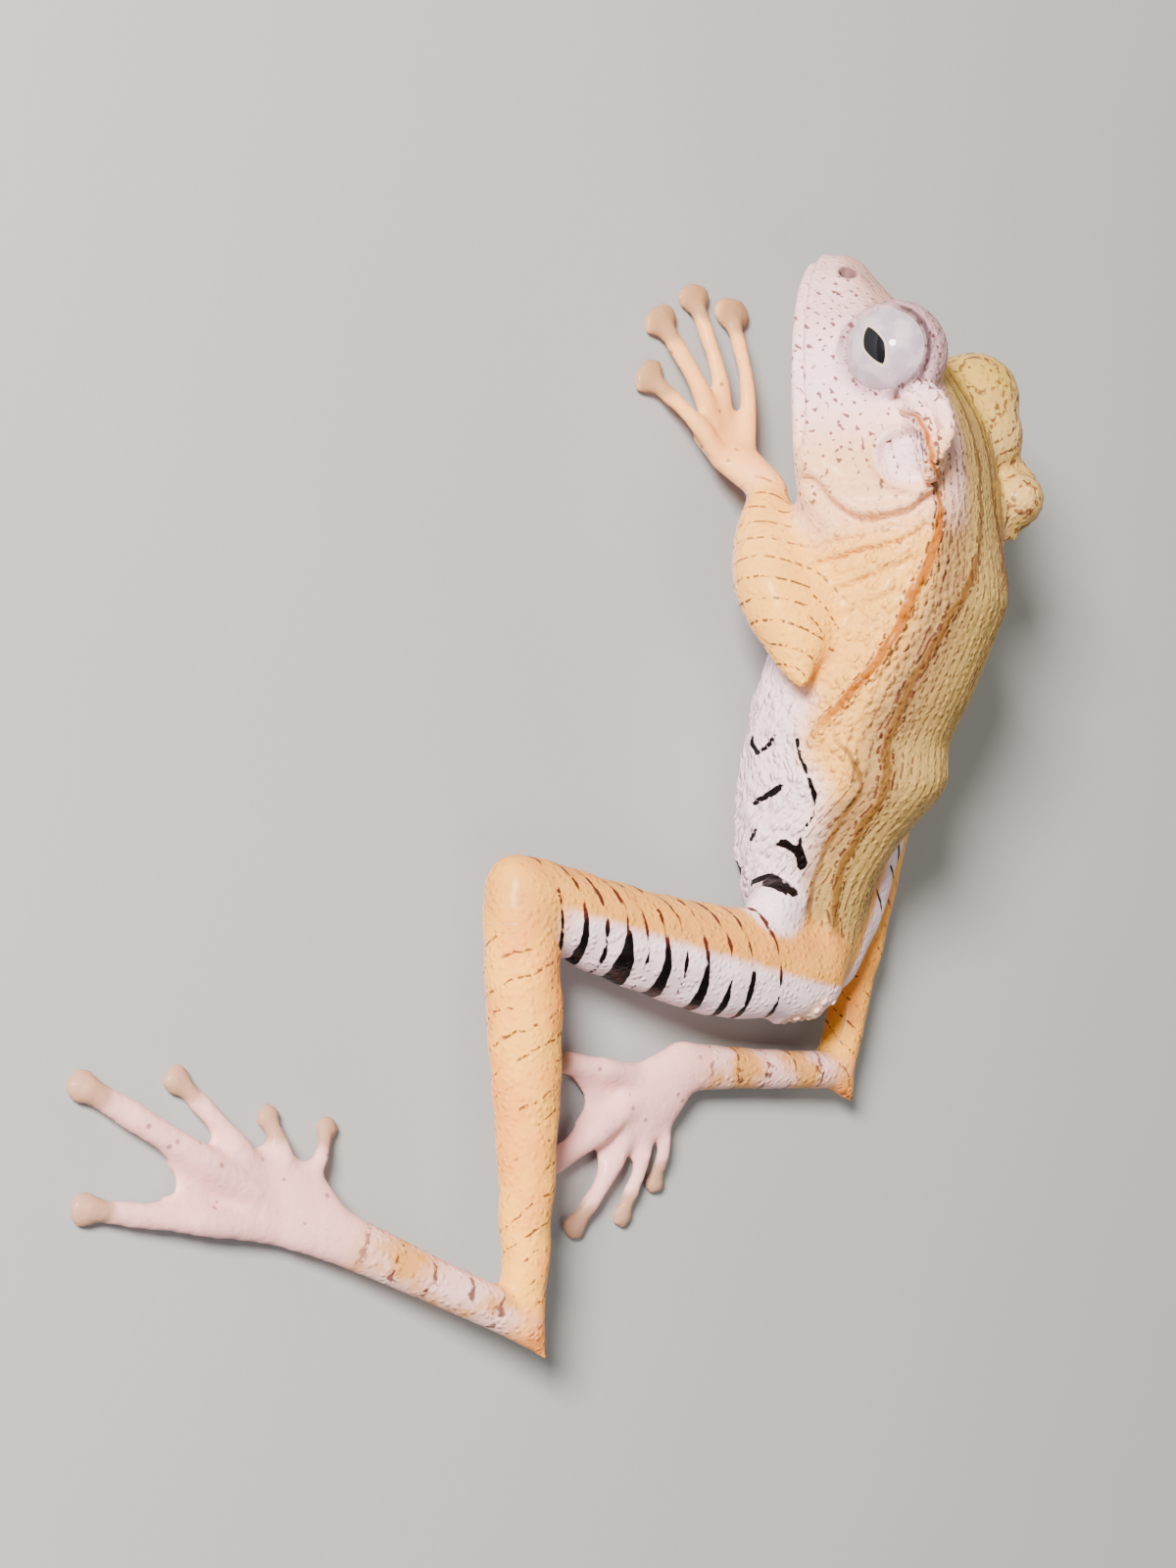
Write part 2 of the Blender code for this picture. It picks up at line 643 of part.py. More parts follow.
def build_arm(hand, materials):
    upper = loft("upper_arm_" + hand, limb_rings(SHOULDER[hand], ELBOW[hand], UPPER_ARM_GIRTH, LIMB_SIDES))
    fore = loft("forearm_" + hand, limb_rings(ELBOW[hand], WRIST[hand], FOREARM_GIRTH, LIMB_SIDES))
    palm = make_hand(hand)
    palm_heading = Vector((FINGER_TIPS[hand][1][0], FINGER_TIPS[hand][1][1], 0.0))
    trim(upper, (NECK_X + CUT / 2, 0, 0), (-1, 0, 0))
    part_at_joint(upper, fore, SHOULDER[hand], ELBOW[hand], WRIST[hand])
    part_at_joint(fore, palm, ELBOW[hand], WRIST[hand], palm_heading)
    boolean(upper, [trunk_loft("trunk_grown", CUT)], "DIFFERENCE")
    boolean(fore, [trunk_loft("trunk_grown", CUT)], "DIFFERENCE")
    for item in (upper, fore, palm):
        finish(flatten_on_floor(item), materials["limb"])


def build_leg(hand, materials):
    thigh = loft("thigh_" + hand, limb_rings(HIP[hand], KNEE[hand], THIGH_GIRTH, LIMB_SIDES))
    shank = loft("shank_" + hand, limb_rings(KNEE[hand], HEEL[hand], SHANK_GIRTH, LIMB_SIDES))
    tarsus = loft("tarsus_" + hand, limb_rings(HEEL[hand], ANKLE[hand], TARSUS_GIRTH, LIMB_SIDES))
    sole = make_foot(hand)
    sole_heading = Vector((TOE_TIPS[hand][3][0], TOE_TIPS[hand][3][1], 1.0))
    boolean(tarsus, [spur(HEEL[hand], KNEE[hand], ANKLE[hand])], "UNION")
    part_at_joint(thigh, shank, HIP[hand], KNEE[hand], HEEL[hand])
    part_at_joint(shank, tarsus, KNEE[hand], HEEL[hand], ANKLE[hand])
    part_at_joint(tarsus, sole, HEEL[hand], ANKLE[hand], sole_heading)
    boolean(thigh, [trunk_loft("trunk_grown", CUT)], "DIFFERENCE")
    boolean(shank, [trunk_loft("trunk_grown", CUT)], "DIFFERENCE")
    if hand == "right":
        pressed = limb_rings(KNEE[hand], HEEL[hand], SHANK_GIRTH, LIMB_SIDES + 1, CUT)
        boolean(thigh, [loft("shank_grown", pressed)], "DIFFERENCE")
    for item in (thigh, shank, tarsus, sole):
        finish(flatten_on_floor(item), materials["limb"])


def centre_on_floor():
    """Puts the origin under the middle of the frog's box, on the floor."""
    corners = [v.co for item in bpy.data.objects for v in item.data.vertices]
    low = Vector([min(c[i] for c in corners) for i in range(3)])
    high = Vector([max(c[i] for c in corners) for i in range(3)])
    shift = Vector((-(low.x + high.x) / 2, -(low.y + high.y) / 2, -low.z))
    for item in bpy.data.objects:
        item.data.transform(Matrix.Translation(shift))


def main():
    clear_scene()
    materials = {name: material(name, colour, 0.55) for name, colour in SKIN_COLOURS.items()}
    materials["eye"].node_tree.nodes["Principled BSDF"].inputs["Roughness"].default_value = 0.12
    build_head(materials)
    build_trunk(materials)
    for hand in ("left", "right"):
        build_arm(hand, materials)
        build_leg(hand, materials)
    centre_on_floor()


main()
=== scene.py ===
import math

import bmesh
import bpy
import numpy as np
from mathutils import Matrix, Vector


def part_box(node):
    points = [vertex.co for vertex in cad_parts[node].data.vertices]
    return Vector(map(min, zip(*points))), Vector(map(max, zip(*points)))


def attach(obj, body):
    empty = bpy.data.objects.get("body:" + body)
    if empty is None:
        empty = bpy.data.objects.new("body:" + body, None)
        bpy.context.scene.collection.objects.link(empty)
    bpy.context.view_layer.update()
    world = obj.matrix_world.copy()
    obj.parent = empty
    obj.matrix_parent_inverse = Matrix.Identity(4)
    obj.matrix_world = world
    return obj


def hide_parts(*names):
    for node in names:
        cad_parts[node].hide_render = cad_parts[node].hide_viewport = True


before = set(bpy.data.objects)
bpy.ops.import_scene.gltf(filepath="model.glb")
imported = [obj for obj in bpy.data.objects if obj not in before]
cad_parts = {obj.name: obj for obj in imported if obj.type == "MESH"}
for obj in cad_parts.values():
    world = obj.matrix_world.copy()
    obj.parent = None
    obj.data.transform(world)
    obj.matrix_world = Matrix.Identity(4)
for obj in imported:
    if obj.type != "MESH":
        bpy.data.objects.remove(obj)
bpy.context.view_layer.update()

# The frog is shaped in millimetres in its own place, where it looks along -X with its right side
# at +Y, and is carried to the frame's place at the end.
MM = 0.001

# Camera: it looks down on the frog's left side, rolled so that the head points up in the picture.
CAMERA_ELEVATION = 46.0
CAMERA_DISTANCE = 340.0
CAMERA_LENS = 73.56
CAMERA_TARGET = (-10.66, -23.77, 0.0)

# Head, in its own frame: x back from the snout tip, y to the right, z up from the mouth line.
# Each row of the profile is x, half width, height above, depth below and squareness.
HEAD_ORIGIN = (-68.4, 6.2, 7.1)
HEAD_YAW = 7.0
HEAD_PITCH = -15.0
HEAD_ROLL = 19.0
HEAD_PROFILE = (
    (0.0, 1.8, 3.4, 0.5, 2.2),
    (0.7, 3.4, 4.0, 1.1, 2.25),
    (2.4, 5.2, 4.9, 1.7, 2.3),
    (4.5, 6.9, 6.1, 2.0, 2.3),
    (7.0, 8.5, 7.8, 2.3, 2.35),
    (11.0, 10.5, 10.0, 2.6, 2.4),
    (16.0, 12.2, 12.3, 2.8, 2.5),
    (21.0, 13.1, 14.2, 3.0, 2.75),
    (27.0, 13.3, 15.0, 3.2, 2.9),
)
EYE_PLACE = (16.8, 9.7, 9.9)
EYE_RADIUS = 5.05
EYE_AXIS = (0.0, -0.961, 0.276)
EYE_BULGE = 0.08
EYE_BULGE_ANGLE = 1.25
LID_THICKNESS = 0.6
# The lids' opening in degrees from the middle of the eye, and how much more than that it is above
# and below the middle. Before and behind it, the opening is less by as much.
LID_OPENING = 57.5
LID_OVAL = 3.5
# How far outside the opening the crease behind each eye lies, in radians.
EYE_CREASE = 0.17
SOCKET_DEPTH = 0.9
# Swellings over and behind the right eye: place and radius.
RIGHT_BROWS = (((16.2, 9.7, 11.5), 5.3), ((20.6, 9.8, 11.7), 4.9))
# How far each crest stands out beyond its points.
CREST_FLARE = {"left": 0.0, "right": 0.7}
CREST_TOOTH = {"left": 0.22, "right": 0.12}
# The round rear lobe of the right crest: place and radius.
RIGHT_LOBE = (-42.0, 18.9, 23.8)
RIGHT_LOBE_RADIUS = 3.0
CREST_POINTS = (
    (21.8, 11.4, 13.0), (24.4, 12.8, 14.9), (27.2, 13.5, 15.8),
    (29.6, 13.5, 15.2), (31.4, 12.7, 13.4),
)
CREST_RADII = (0.7, 0.95, 1.0, 0.85, 0.5)
CREST_ROOT_POINTS = ((20.0, 9.6, 11.4), (24.0, 10.8, 12.5), (28.0, 11.4, 12.9), (31.5, 10.6, 11.7))
CREST_ROOT_RADII = (1.5, 2.0, 2.0, 1.3)
CREST_TEETH = 9
CREST_STEPS = 20
TOOTH_REACH = 1.5
EAR_PLACE = (29.2, 13.0, 10.2)
EAR_STRETCH = (1.0, 0.35, 0.92)
EAR_RADIUS = 3.1
NOSTRIL_PLACE = (4.4, 5.6, 4.25)
NOSTRIL_STRETCH = (0.8, 1.0, 1.0)
MOUTH_END = 27.0

# Trunk sections: x, centre y and z, half width, height above and depth below, roll.
TRUNK_SECTIONS = (
    (12.6, 4.0, 8.4, 1.4, 1.4, 1.4, 14.0),
    (10.5, 3.8, 8.4, 3.2, 3.0, 3.0, 14.0),
    (6.0, 2.9, 8.4, 5.2, 4.7, 5.4, 14.0),
    (0.0, 2.1, 8.8, 7.1, 6.7, 8.2, 15.0),
    (-5.0, 2.9, 9.9, 8.6, 8.6, 10.1, 16.0),
    (-10.5, 4.2, 11.6, 10.3, 11.1, 12.0, 17.0),
    (-14.8, 4.8, 12.9, 10.9, 9.6, 12.6, 17.5),
    (-19.6, 5.5, 14.4, 11.7, 10.2, 13.2, 18.0),
    (-30.0, 7.3, 17.4, 12.4, 11.0, 12.2, 19.0),
)
TRUNK_SQUARENESS = 2.1

# Shares of the way from the head to the trunk at which the neck's rings lie: first, last and count.
NECK_RINGS = (0.06, 0.94, 12)
GROIN_PLACE = (2.8, -4.6, 9.6)
GROIN_RADIUS = 3.4
VENT_RADIUS = 2.9
VENT_TAPER = 0.92
VENT_FLATNESS = 0.6
VENT_POINTS = ((5.0, 2.2, 11.6), (9.0, 0.9, 11.8), (12.2, -0.6, 10.8), (14.4, -1.9, 9.2))

SHOULDER = {"left": (-33.5, -2.6, 15.2), "right": (-33.0, 13.6, 11.2)}
ELBOW = {"left": (-25.2, -8.6, 16.0), "right": (-33.0, 27.0, 9.6)}
WRIST = {"left": (-42.5, -4.4, 8.4), "right": (-48.0, 19.5, 5.2)}
HIP = {"left": (10.0, -0.6, 9.8), "right": (8.0, 5.2, 7.1)}
KNEE = {"left": (0.0, -40.0, 6.6), "right": (-23.5, 20.8, 5.0)}
HEEL = {"left": (43.5, -40.5, 8.0), "right": (21.6, 11.2, 3.9)}
ANKLE = {"left": (33.0, -61.5, 3.0), "right": (19.8, -12.5, 2.8)}
FINGER_TIPS = {
    "left": ((-62.7, -2.4), (-63.8, -8.4), (-60.8, -13.6), (-54.6, -15.4)),
    "right": ((-57.0, 11.6), (-62.5, 14.6), (-64.0, 20.4), (-57.0, 26.0)),
}
TOE_TIPS = {
    "left": ((23.0, -60.1), (21.4, -67.5), (17.1, -78.4), (17.0, -89.2), (28.4, -88.8)),
    "right": ((32.5, -14.5), (35.5, -19.5), (36.0, -26.5), (30.5, -34.0), (18.0, -31.0)),
}
UPPER_ARM_GIRTH = ((0.0, 4.0, 4.0), (0.5, 3.7, 3.6), (1.0, 3.2, 3.2))
FOREARM_GIRTH = ((0.0, 3.2, 3.2), (0.4, 4.9, 4.3), (0.7, 4.0, 3.5), (1.0, 2.1, 2.0))
FOREARM_BOW = (0.0, 1.5, -0.3)
THIGH_BOW = (1.6, 0.0, 0.0)
SHANK_BOW = (0.0, 0.7, 0.0)
PALM_GIRTH = ((0.0, 2.1, 2.0), (0.6, 3.0, 1.7), (1.0, 2.4, 1.4))
THIGH_GIRTH = ((0.0, 5.2, 4.6), (0.25, 5.9, 5.0), (0.6, 5.3, 4.8), (1.0, 4.0, 4.0))
SHANK_GIRTH = ((0.0, 3.9, 3.9), (0.3, 4.1, 3.8), (0.65, 3.1, 3.0), (1.0, 2.2, 2.3))
TARSUS_GIRTH = ((0.0, 2.2, 2.3), (0.5, 2.4, 2.2), (1.0, 2.8, 2.0))
SOLE_GIRTH = ((0.0, 3.0, 2.0), (0.5, 4.3, 1.8), (1.0, 4.0, 1.5))
FINGER_RADII = (1.05, 1.1, 1.2, 1.1)
FINGER_DISCS = (2.4, 2.1, 2.2, 2.1)
TOE_RADII = (0.9, 1.0, 1.15, 1.5, 1.35)
TOE_DISCS = (1.4, 1.45, 1.6, 1.75, 1.8)
# Length and breadth of a disc, as shares of its own size.
FINGER_DISC_SHAPE = (0.85, 1.25)
TOE_DISC_SHAPE = (0.94, 1.08)
DISC_HEIGHT = 1.5
# A digit's radius at its root and how much it loses towards the tip, as shares of its own.
DIGIT_TAPER = (1.14, 0.30)
DIGIT_FLATNESS = 0.86
DIGIT_STEPS = 26
# How high fingers and toes arch between root and tip.
FINGER_LIFT = 1.2
TOE_LIFT = 0.8
# Knuckles: how much they add to a digit's radius, their share along it and their width.
KNUCKLES = ((0.10, 0.42, 0.07), (0.12, 0.72, 0.06))
# Where the digits start: share along the palm, how much farther for the middle ones, and spread.
ROOT_SHARE = 0.55
ROOT_ARCH = 0.35
ROOT_SPREAD = 1.3
PALM_REACH = 6.5
SOLE_REACH = 8.5
WEB_THICKNESS = 0.95
WEB_ROWS, WEB_COLUMNS = 16, 12
# How far a web's free edge is drawn in at its middle, and how far it sags there, as shares.
WEB_CURVE = 0.34
WEB_SAG = 0.25
WEB_LIFT = 0.2
TOE_WEBS = (0.42, 0.52, 0.72, 0.80)
SPUR_LENGTH = 5.2
SPUR_RADII = (2.0, 1.7, 1.1, 0.65, 0.3)
SPUR_SHARES = (0.0, 0.35, 0.6, 0.8, 1.0)
ELBOW_POINT = 5.4
ELBOW_RADII = (2.9, 2.4, 1.5, 0.5)
ELBOW_SHARES = (0.0, 0.35, 0.7, 1.0)

# Angles at which a limb's round end is cut into rings.
ROUND_END = (0.2, 0.6, 1.0, 1.3)
HANDS = ("left", "right")

VOXEL = 0.49
# The lowest height of the skin over the floor.
LOWEST = 0.02
# The fused clay is drawn smooth in turns, less at the tips of the digits and along them than
# elsewhere, and then once more round the joints, each within its reach, and round the neck.
SMOOTH_TURNS = 10
TIP_SMOOTHING, DIGIT_SMOOTHING, BODY_SMOOTHING = 0.14, 0.30, 0.5
JOINT_TURNS = 46
JOINT_SMOOTHING, NECK_SMOOTHING = 0.5, 0.35
JOINT_REACH = ((HIP, 11.0), (SHOULDER, 8.0), (KNEE, 5.5), (ELBOW, 4.5))
JOINT_RANGE = 1.35
NECK_PLACE = (-36.0, 8.0, 18.0)
NECK_WIDTH = 3.5
NECK_REACH = 17.0
DIGIT_NEAR = 3.0
TIP_NEAR = 3.4
LAST_TURNS, LAST_SMOOTHING = 3, 0.4
# How near the mouth line, the lids' edges, the nostrils and the ears the faces are split.
FINE_MOUTH = 1.9
FINE_LID = (1.5, 0.35)
FINE_NOSTRIL = 2.2
FINE_EAR = 5.0
SKIN_SEED = 7
GRAIN_SIDES = 7
GRAIN_RINGS = 5
GRAIN_POINTS = GRAIN_SIDES * (GRAIN_RINGS - 1) + 2
PATCH_SCALE = 3.5


def smooth_table(rows, count):
    """Rows read at even steps of their first number, on a smooth curve through them."""
    rows = np.array(rows, float)
    rows = rows[np.argsort(rows[:, 0], kind="stable")]
    keys = rows[:, 0]
    slopes = np.gradient(rows, keys, axis=0)
    steps = np.linspace(keys[0], keys[-1], count)
    i = np.clip(np.searchsorted(keys, steps, side="right") - 1, 0, len(keys) - 2)
    span = (keys[i + 1] - keys[i])[:, None]
    t = (steps - keys[i])[:, None] / span
    start = (2 * t**3 - 3 * t**2 + 1) * rows[i] + (t**3 - 2 * t**2 + t) * span * slopes[i]
    end = (3 * t**2 - 2 * t**3) * rows[i + 1] + (t**3 - t**2) * span * slopes[i + 1]
    return start + end


def smooth_path(points, count):
    """Points read at even steps on a smooth curve through a few."""
    points = np.array(points, float)
    keys = np.arange(len(points), dtype=float)[:, None]
    return smooth_table(np.hstack([keys, points]), count)[:, 1:]


def fade(value, low, high):
    """Runs smoothly from 0 at low to 1 at high."""
    t = np.clip((value - low) / (high - low), 0.0, 1.0)
    return t * t * (3 - 2 * t)


def gap_to(points, place, stretch=1.0):
    """Each point's distance to a place; stretch is how much each axis counts."""
    return np.linalg.norm((points - place) * stretch, axis=1)


def hump(gap, width):
    """1 where there is no gap, falling off smoothly over the width."""
    return np.exp(-((gap / width) ** 2))


def form(points, rise, place, width, stretch=1.0):
    """The height of one round form."""
    return rise * hump(gap_to(points, place, stretch), width)


def rings(gap, rows):
    """The height of rings: each row is a rise, the gap where it is highest and its width."""
    return sum(rise * hump(gap - out, width) for rise, out, width in rows)


def head_matrix():
    turn = Matrix.Rotation(math.radians(-HEAD_YAW), 4, "Z")
    turn = turn @ Matrix.Rotation(math.radians(HEAD_PITCH), 4, "Y")
    turn = turn @ Matrix.Rotation(math.radians(-HEAD_ROLL), 4, "X")
    return np.array(Matrix.Translation(HEAD_ORIGIN) @ turn)


HEAD = head_matrix()
HEAD_BACK = np.linalg.inv(HEAD)


def from_head(points):
    points = np.atleast_2d(np.array(points, float))
    return points @ HEAD[:3, :3].T + HEAD[:3, 3]


def to_head(points):
    return np.atleast_2d(points) @ HEAD_BACK[:3, :3].T + HEAD_BACK[:3, 3]


def hand_sign(hand):
    return -1.0 if hand == "left" else 1.0


def on_side(point, hand):
    return (point[0], hand_sign(hand) * point[1], point[2])


EYE_CENTRE = {hand: from_head(on_side(EYE_PLACE, hand))[0] for hand in HANDS}
LEFT_AXIS = HEAD[:3, :3].T @ np.array(EYE_AXIS)
EYE_DIRECTION = {
    "left": np.array(EYE_AXIS),
    "right": HEAD[:3, :3] @ (LEFT_AXIS * np.array([1, -1, 1])),
}
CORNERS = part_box("eye_left")
FRAME_SHIFT = (np.array(CORNERS[0]) + np.array(CORNERS[1])) / 2 / MM - EYE_CENTRE["left"]


class Clay:
    """Closed shapes, in millimetres, that are fused into one skin."""

    def __init__(self):
        self.verts = []
        self.faces = []

    def loft(self, rings):
        base = len(self.verts)
        count = len(rings[0])
        for ring in rings:
            self.verts.extend(tuple(p) for p in ring)
        for r in range(len(rings) - 1):
            for k in range(count):
                n = (k + 1) % count
                a = base + r * count
                self.faces.append((a + k, a + n, a + count + n, a + count + k))
        for ring_start, ring in ((base, rings[0]), (base + (len(rings) - 1) * count, rings[-1])):
            self.verts.append(tuple(np.mean(np.array(ring), axis=0)))
            middle = len(self.verts) - 1
            for k in range(count):
                self.faces.append((ring_start + k, ring_start + (k + 1) % count, middle))

    def ball(self, centre, radii, turn=None):
        rings = []
        for latitude in np.linspace(-0.47 * math.pi, 0.47 * math.pi, 17):
            turns = np.linspace(0, 2 * math.pi, 28, endpoint=False)
            ring = np.stack([np.cos(turns), np.sin(turns), np.full(28, math.tan(latitude))], axis=1)
            ring *= math.cos(latitude)
            ring = ring * np.array(radii)
            if turn is not None:
                ring = ring @ turn.T
            rings.append(ring + np.array(centre))
        self.loft(rings)

    def tube(self, points, radii, flatness=None, sides=18):
        """A round or flattened tube; flatness is its height over its width at each point."""
        points = np.array(points, float)
        along = np.gradient(points, axis=0)
        along /= np.linalg.norm(along, axis=1)[:, None]
        flatness = np.ones(len(points)) if flatness is None else flatness
        turns = np.linspace(0, 2 * math.pi, sides, endpoint=False)
        rings = []
        for point, ahead, radius, flat in zip(points, along, radii, flatness):
            side = np.cross((0.01, 0.02, 1.0), ahead)
            side /= np.linalg.norm(side)
            upright = np.cross(ahead, side)
            ring = np.outer(np.cos(turns), side) + np.outer(np.sin(turns), upright) * flat
            rings.append(point + ring * radius)
        self.loft(rings)

    def limb(self, start, end, girth, bend=(0, 0, 0)):
        """A length of limb, round beyond both joints, bowed a little at its middle."""
        start, end = np.array(start, float), np.array(end, float)
        length = np.linalg.norm(end - start)
        along = (end - start) / length
        table = smooth_table(girth, 18)
        shares, wides, heights = (list(column) for column in table.T)
        flats = [high / wide for high, wide in zip(heights, wides)]
        near, far = wides[0], wides[-1]
        shares = [-near * math.cos(a) / length for a in ROUND_END] + shares
        shares += [1 + far * math.cos(a) / length for a in ROUND_END[::-1]]
        wides = [near * math.sin(a) for a in ROUND_END] + wides
        wides += [far * math.sin(a) for a in ROUND_END[::-1]]
        flats = flats[:1] * len(ROUND_END) + flats + flats[-1:] * len(ROUND_END)
        bow = [math.sin(math.pi * min(max(t, 0), 1)) for t in shares]
        points = [start + along * t * length + np.array(bend) * b for t, b in zip(shares, bow)]
        self.tube(points, wides, np.array(flats), 22)

    def sheet(self, top, bottom):
        """A thin closed sheet from two grids of points."""
        rows, columns = top.shape[:2]
        base = len(self.verts)
        self.verts.extend(tuple(p) for p in top.reshape(-1, 3))
        self.verts.extend(tuple(p) for p in bottom.reshape(-1, 3))
        lower = base + rows * columns
        for i in range(rows - 1):
            for j in range(columns - 1):
                a = i * columns + j
                quad = (a, a + 1, a + columns + 1, a + columns)
                self.faces.append(tuple(base + k for k in quad))
                self.faces.append(tuple(lower + k for k in reversed(quad)))
        rim = list(range(columns))
        rim += [i * columns + columns - 1 for i in range(1, rows)]
        rim += [(rows - 1) * columns + j for j in range(columns - 2, -1, -1)]
        rim += [i * columns for i in range(rows - 2, 0, -1)]
        for k in range(len(rim)):
            a, b = rim[k], rim[(k + 1) % len(rim)]
            self.faces.append((base + a, base + b, lower + b, lower + a))


def section(half_width, above, below, squareness, sides=56):
    turns = np.linspace(0, 2 * math.pi, sides, endpoint=False)
    c, s = np.cos(turns), np.sin(turns)
    y = half_width * np.sign(c) * np.abs(c) ** (2 / squareness)
    z = np.where(s > 0, above, below) * np.sign(s) * np.abs(s) ** (2 / squareness)
    return np.stack([np.zeros(sides), y, z], axis=1)


def head_rings():
    rings = []
    for x, half_width, above, below, squareness in smooth_table(HEAD_PROFILE, 48):
        rings.append(from_head(section(half_width, above, below, squareness) + (x, 0, 0)))
    return rings


def trunk_rings():
    rings = []
    for x, y, z, half_width, above, below, roll in smooth_table(TRUNK_SECTIONS, 56):
        a = math.radians(-roll)
        turn = np.array([[1, 0, 0], [0, math.cos(a), -math.sin(a)], [0, math.sin(a), math.cos(a)]])
        ring = section(half_width, above, below, TRUNK_SQUARENESS) @ turn.T
        rings.append(ring + (x, y, z))
    return rings


def model_body(clay):
    """Head, neck and trunk in one, with the crests and the round swellings of the lids."""
    ahead, behind = head_rings(), trunk_rings()
    blend = fade(np.linspace(*NECK_RINGS), 0, 1)
    neck = [ahead[-1] * (1 - share) + behind[0] * share for share in blend]
    clay.loft(ahead + neck + behind)
    for hand in HANDS:
        outer = EYE_RADIUS + LID_THICKNESS
        clay.ball(EYE_CENTRE[hand], (outer, outer, outer))
        for points, radii in ((CREST_POINTS, CREST_RADII), (CREST_ROOT_POINTS, CREST_ROOT_RADII)):
            ridge = smooth_path([on_side(p, hand) for p in points], CREST_STEPS)
            ridge[:, 1] += hand_sign(hand) * CREST_FLARE[hand]
            widths = smooth_path([(r, 0, 0) for r in radii], CREST_STEPS)[:, 0]
            clay.tube(from_head(ridge), widths)
    for brow, radius in RIGHT_BROWS:
        clay.ball(from_head(brow)[0], [radius] * 3)
    clay.ball(RIGHT_LOBE, [RIGHT_LOBE_RADIUS] * 3)
    clay.ball(GROIN_PLACE, [GROIN_RADIUS] * 3)
    share = np.linspace(0, 1, 16)
    radii = VENT_RADIUS * np.sqrt(1 - share**3 * VENT_TAPER)
    clay.tube(smooth_path(VENT_POINTS, len(share)), radii, np.full(len(share), VENT_FLATNESS))


def digit_path(root, tip, radius, lift):
    """A finger or toe from its root down to its disc, with low knuckles."""
    root = np.array(root, float)
    end = np.array((tip[0], tip[1], radius * 0.8))
    middle = (root + end) / 2 + (0, 0, lift)
    late = root + (end - root) * 0.8 + (0, 0, lift * 0.4)
    early = (root * 0.6 + middle * 0.4) + (0, 0, lift * 0.2)
    return smooth_path([root, early, middle, late, end], DIGIT_STEPS)


def model_digit(clay, path, radius, disc, shape):
    share = np.linspace(0, 1, len(path))
    radii = radius * (DIGIT_TAPER[0] - DIGIT_TAPER[1] * share + rings(share, KNUCKLES))
    clay.tube(path, radii, np.full(len(path), DIGIT_FLATNESS), 16)
    tip = path[-1]
    heading = path[-1] - path[-3]
    heading[2] = 0
    heading /= np.linalg.norm(heading)
    side = np.array((-heading[1], heading[0], 0))
    turn = np.stack([heading, side, (0, 0, 1)], axis=1)
    height = DISC_HEIGHT * 0.56
    clay.ball((tip[0], tip[1], height * 0.85), (disc * shape[0], disc * shape[1], height), turn)


def model_web(clay, line_a, line_b, reach):
    """The web between two toes, its free edge drawn in between them."""
    across = np.linspace(0, 1, WEB_COLUMNS)
    outward = np.linspace(0, 1, WEB_ROWS)
    top = np.zeros((WEB_ROWS, WEB_COLUMNS, 3))
    shares = np.linspace(0, 1, len(line_a))
    for i, u in enumerate(outward):
        for j, v in enumerate(across):
            drawn_in = reach * (1 - WEB_CURVE * 4 * v * (1 - v)) * u
            a = np.array([np.interp(drawn_in, shares, line_a[:, k]) for k in range(3)])
            b = np.array([np.interp(drawn_in, shares, line_b[:, k]) for k in range(3)])
            point = a * (1 - v) + b * v
            point[2] *= 1 - WEB_SAG * math.sin(math.pi * v)
            point[2] += WEB_THICKNESS * WEB_LIFT
            top[i, j] = point
    bottom = top - (0, 0, WEB_THICKNESS)
    clay.sheet(top, bottom)


def palm_layout(joint, tips, girth, radii, reach):
    """The end of the palm or sole and the root of each digit."""
    start = np.array(joint, float)
    flat_tips = np.array([(t[0], t[1], 0.0) for t in tips])
    heading = flat_tips.mean(axis=0) - (start[0], start[1], 0)
    heading /= np.linalg.norm(heading)
    end = start + heading * reach
    end[2] = girth[-1][2] * 0.95
    across = np.cross((0, 0, 1), heading)
    order = 1 if across @ (flat_tips[-1] - flat_tips.mean(axis=0)) > 0 else -1
    roots = []
    for k in range(len(tips)):
        spread = k / (len(tips) - 1) - 0.5
        share = ROOT_SHARE + ROOT_ARCH * (1 - abs(2 * spread))
        sideways = across * order * spread * girth[1][1] * ROOT_SPREAD
        root = start + (end - start) * share + sideways
        root[2] = max(root[2] * 0.9, radii[k] * 1.2)
        roots.append(root)
    return end, roots


def palm_of(hand):
    return palm_layout(WRIST[hand], FINGER_TIPS[hand], PALM_GIRTH, FINGER_RADII, PALM_REACH)


def sole_of(hand):
    return palm_layout(ANKLE[hand], TOE_TIPS[hand], SOLE_GIRTH, TOE_RADII, SOLE_REACH)


# The path of each finger and toe, kept as they are modelled.
DIGITS = []


def model_digits(clay, roots, tips, radii, discs, shape, lift):
    paths = [digit_path(*row, lift) for row in zip(roots, tips, radii)]
    for path, radius, disc in zip(paths, radii, discs):
        model_digit(clay, path, radius, disc, shape)
    DIGITS.extend(paths)
    return paths


def model_hand(clay, hand):
    end, roots = palm_of(hand)
    clay.limb(WRIST[hand], end, PALM_GIRTH)
    model_digits(
        clay, roots, FINGER_TIPS[hand], FINGER_RADII, FINGER_DISCS, FINGER_DISC_SHAPE, FINGER_LIFT
    )


def model_foot(clay, hand):
    end, roots = sole_of(hand)
    clay.limb(ANKLE[hand], end, SOLE_GIRTH)
    paths = model_digits(
        clay, roots, TOE_TIPS[hand], TOE_RADII, TOE_DISCS, TOE_DISC_SHAPE, TOE_LIFT
    )
    for line_a, line_b, reach in zip(paths, paths[1:], TOE_WEBS):
        model_web(clay, line_a, line_b, reach)


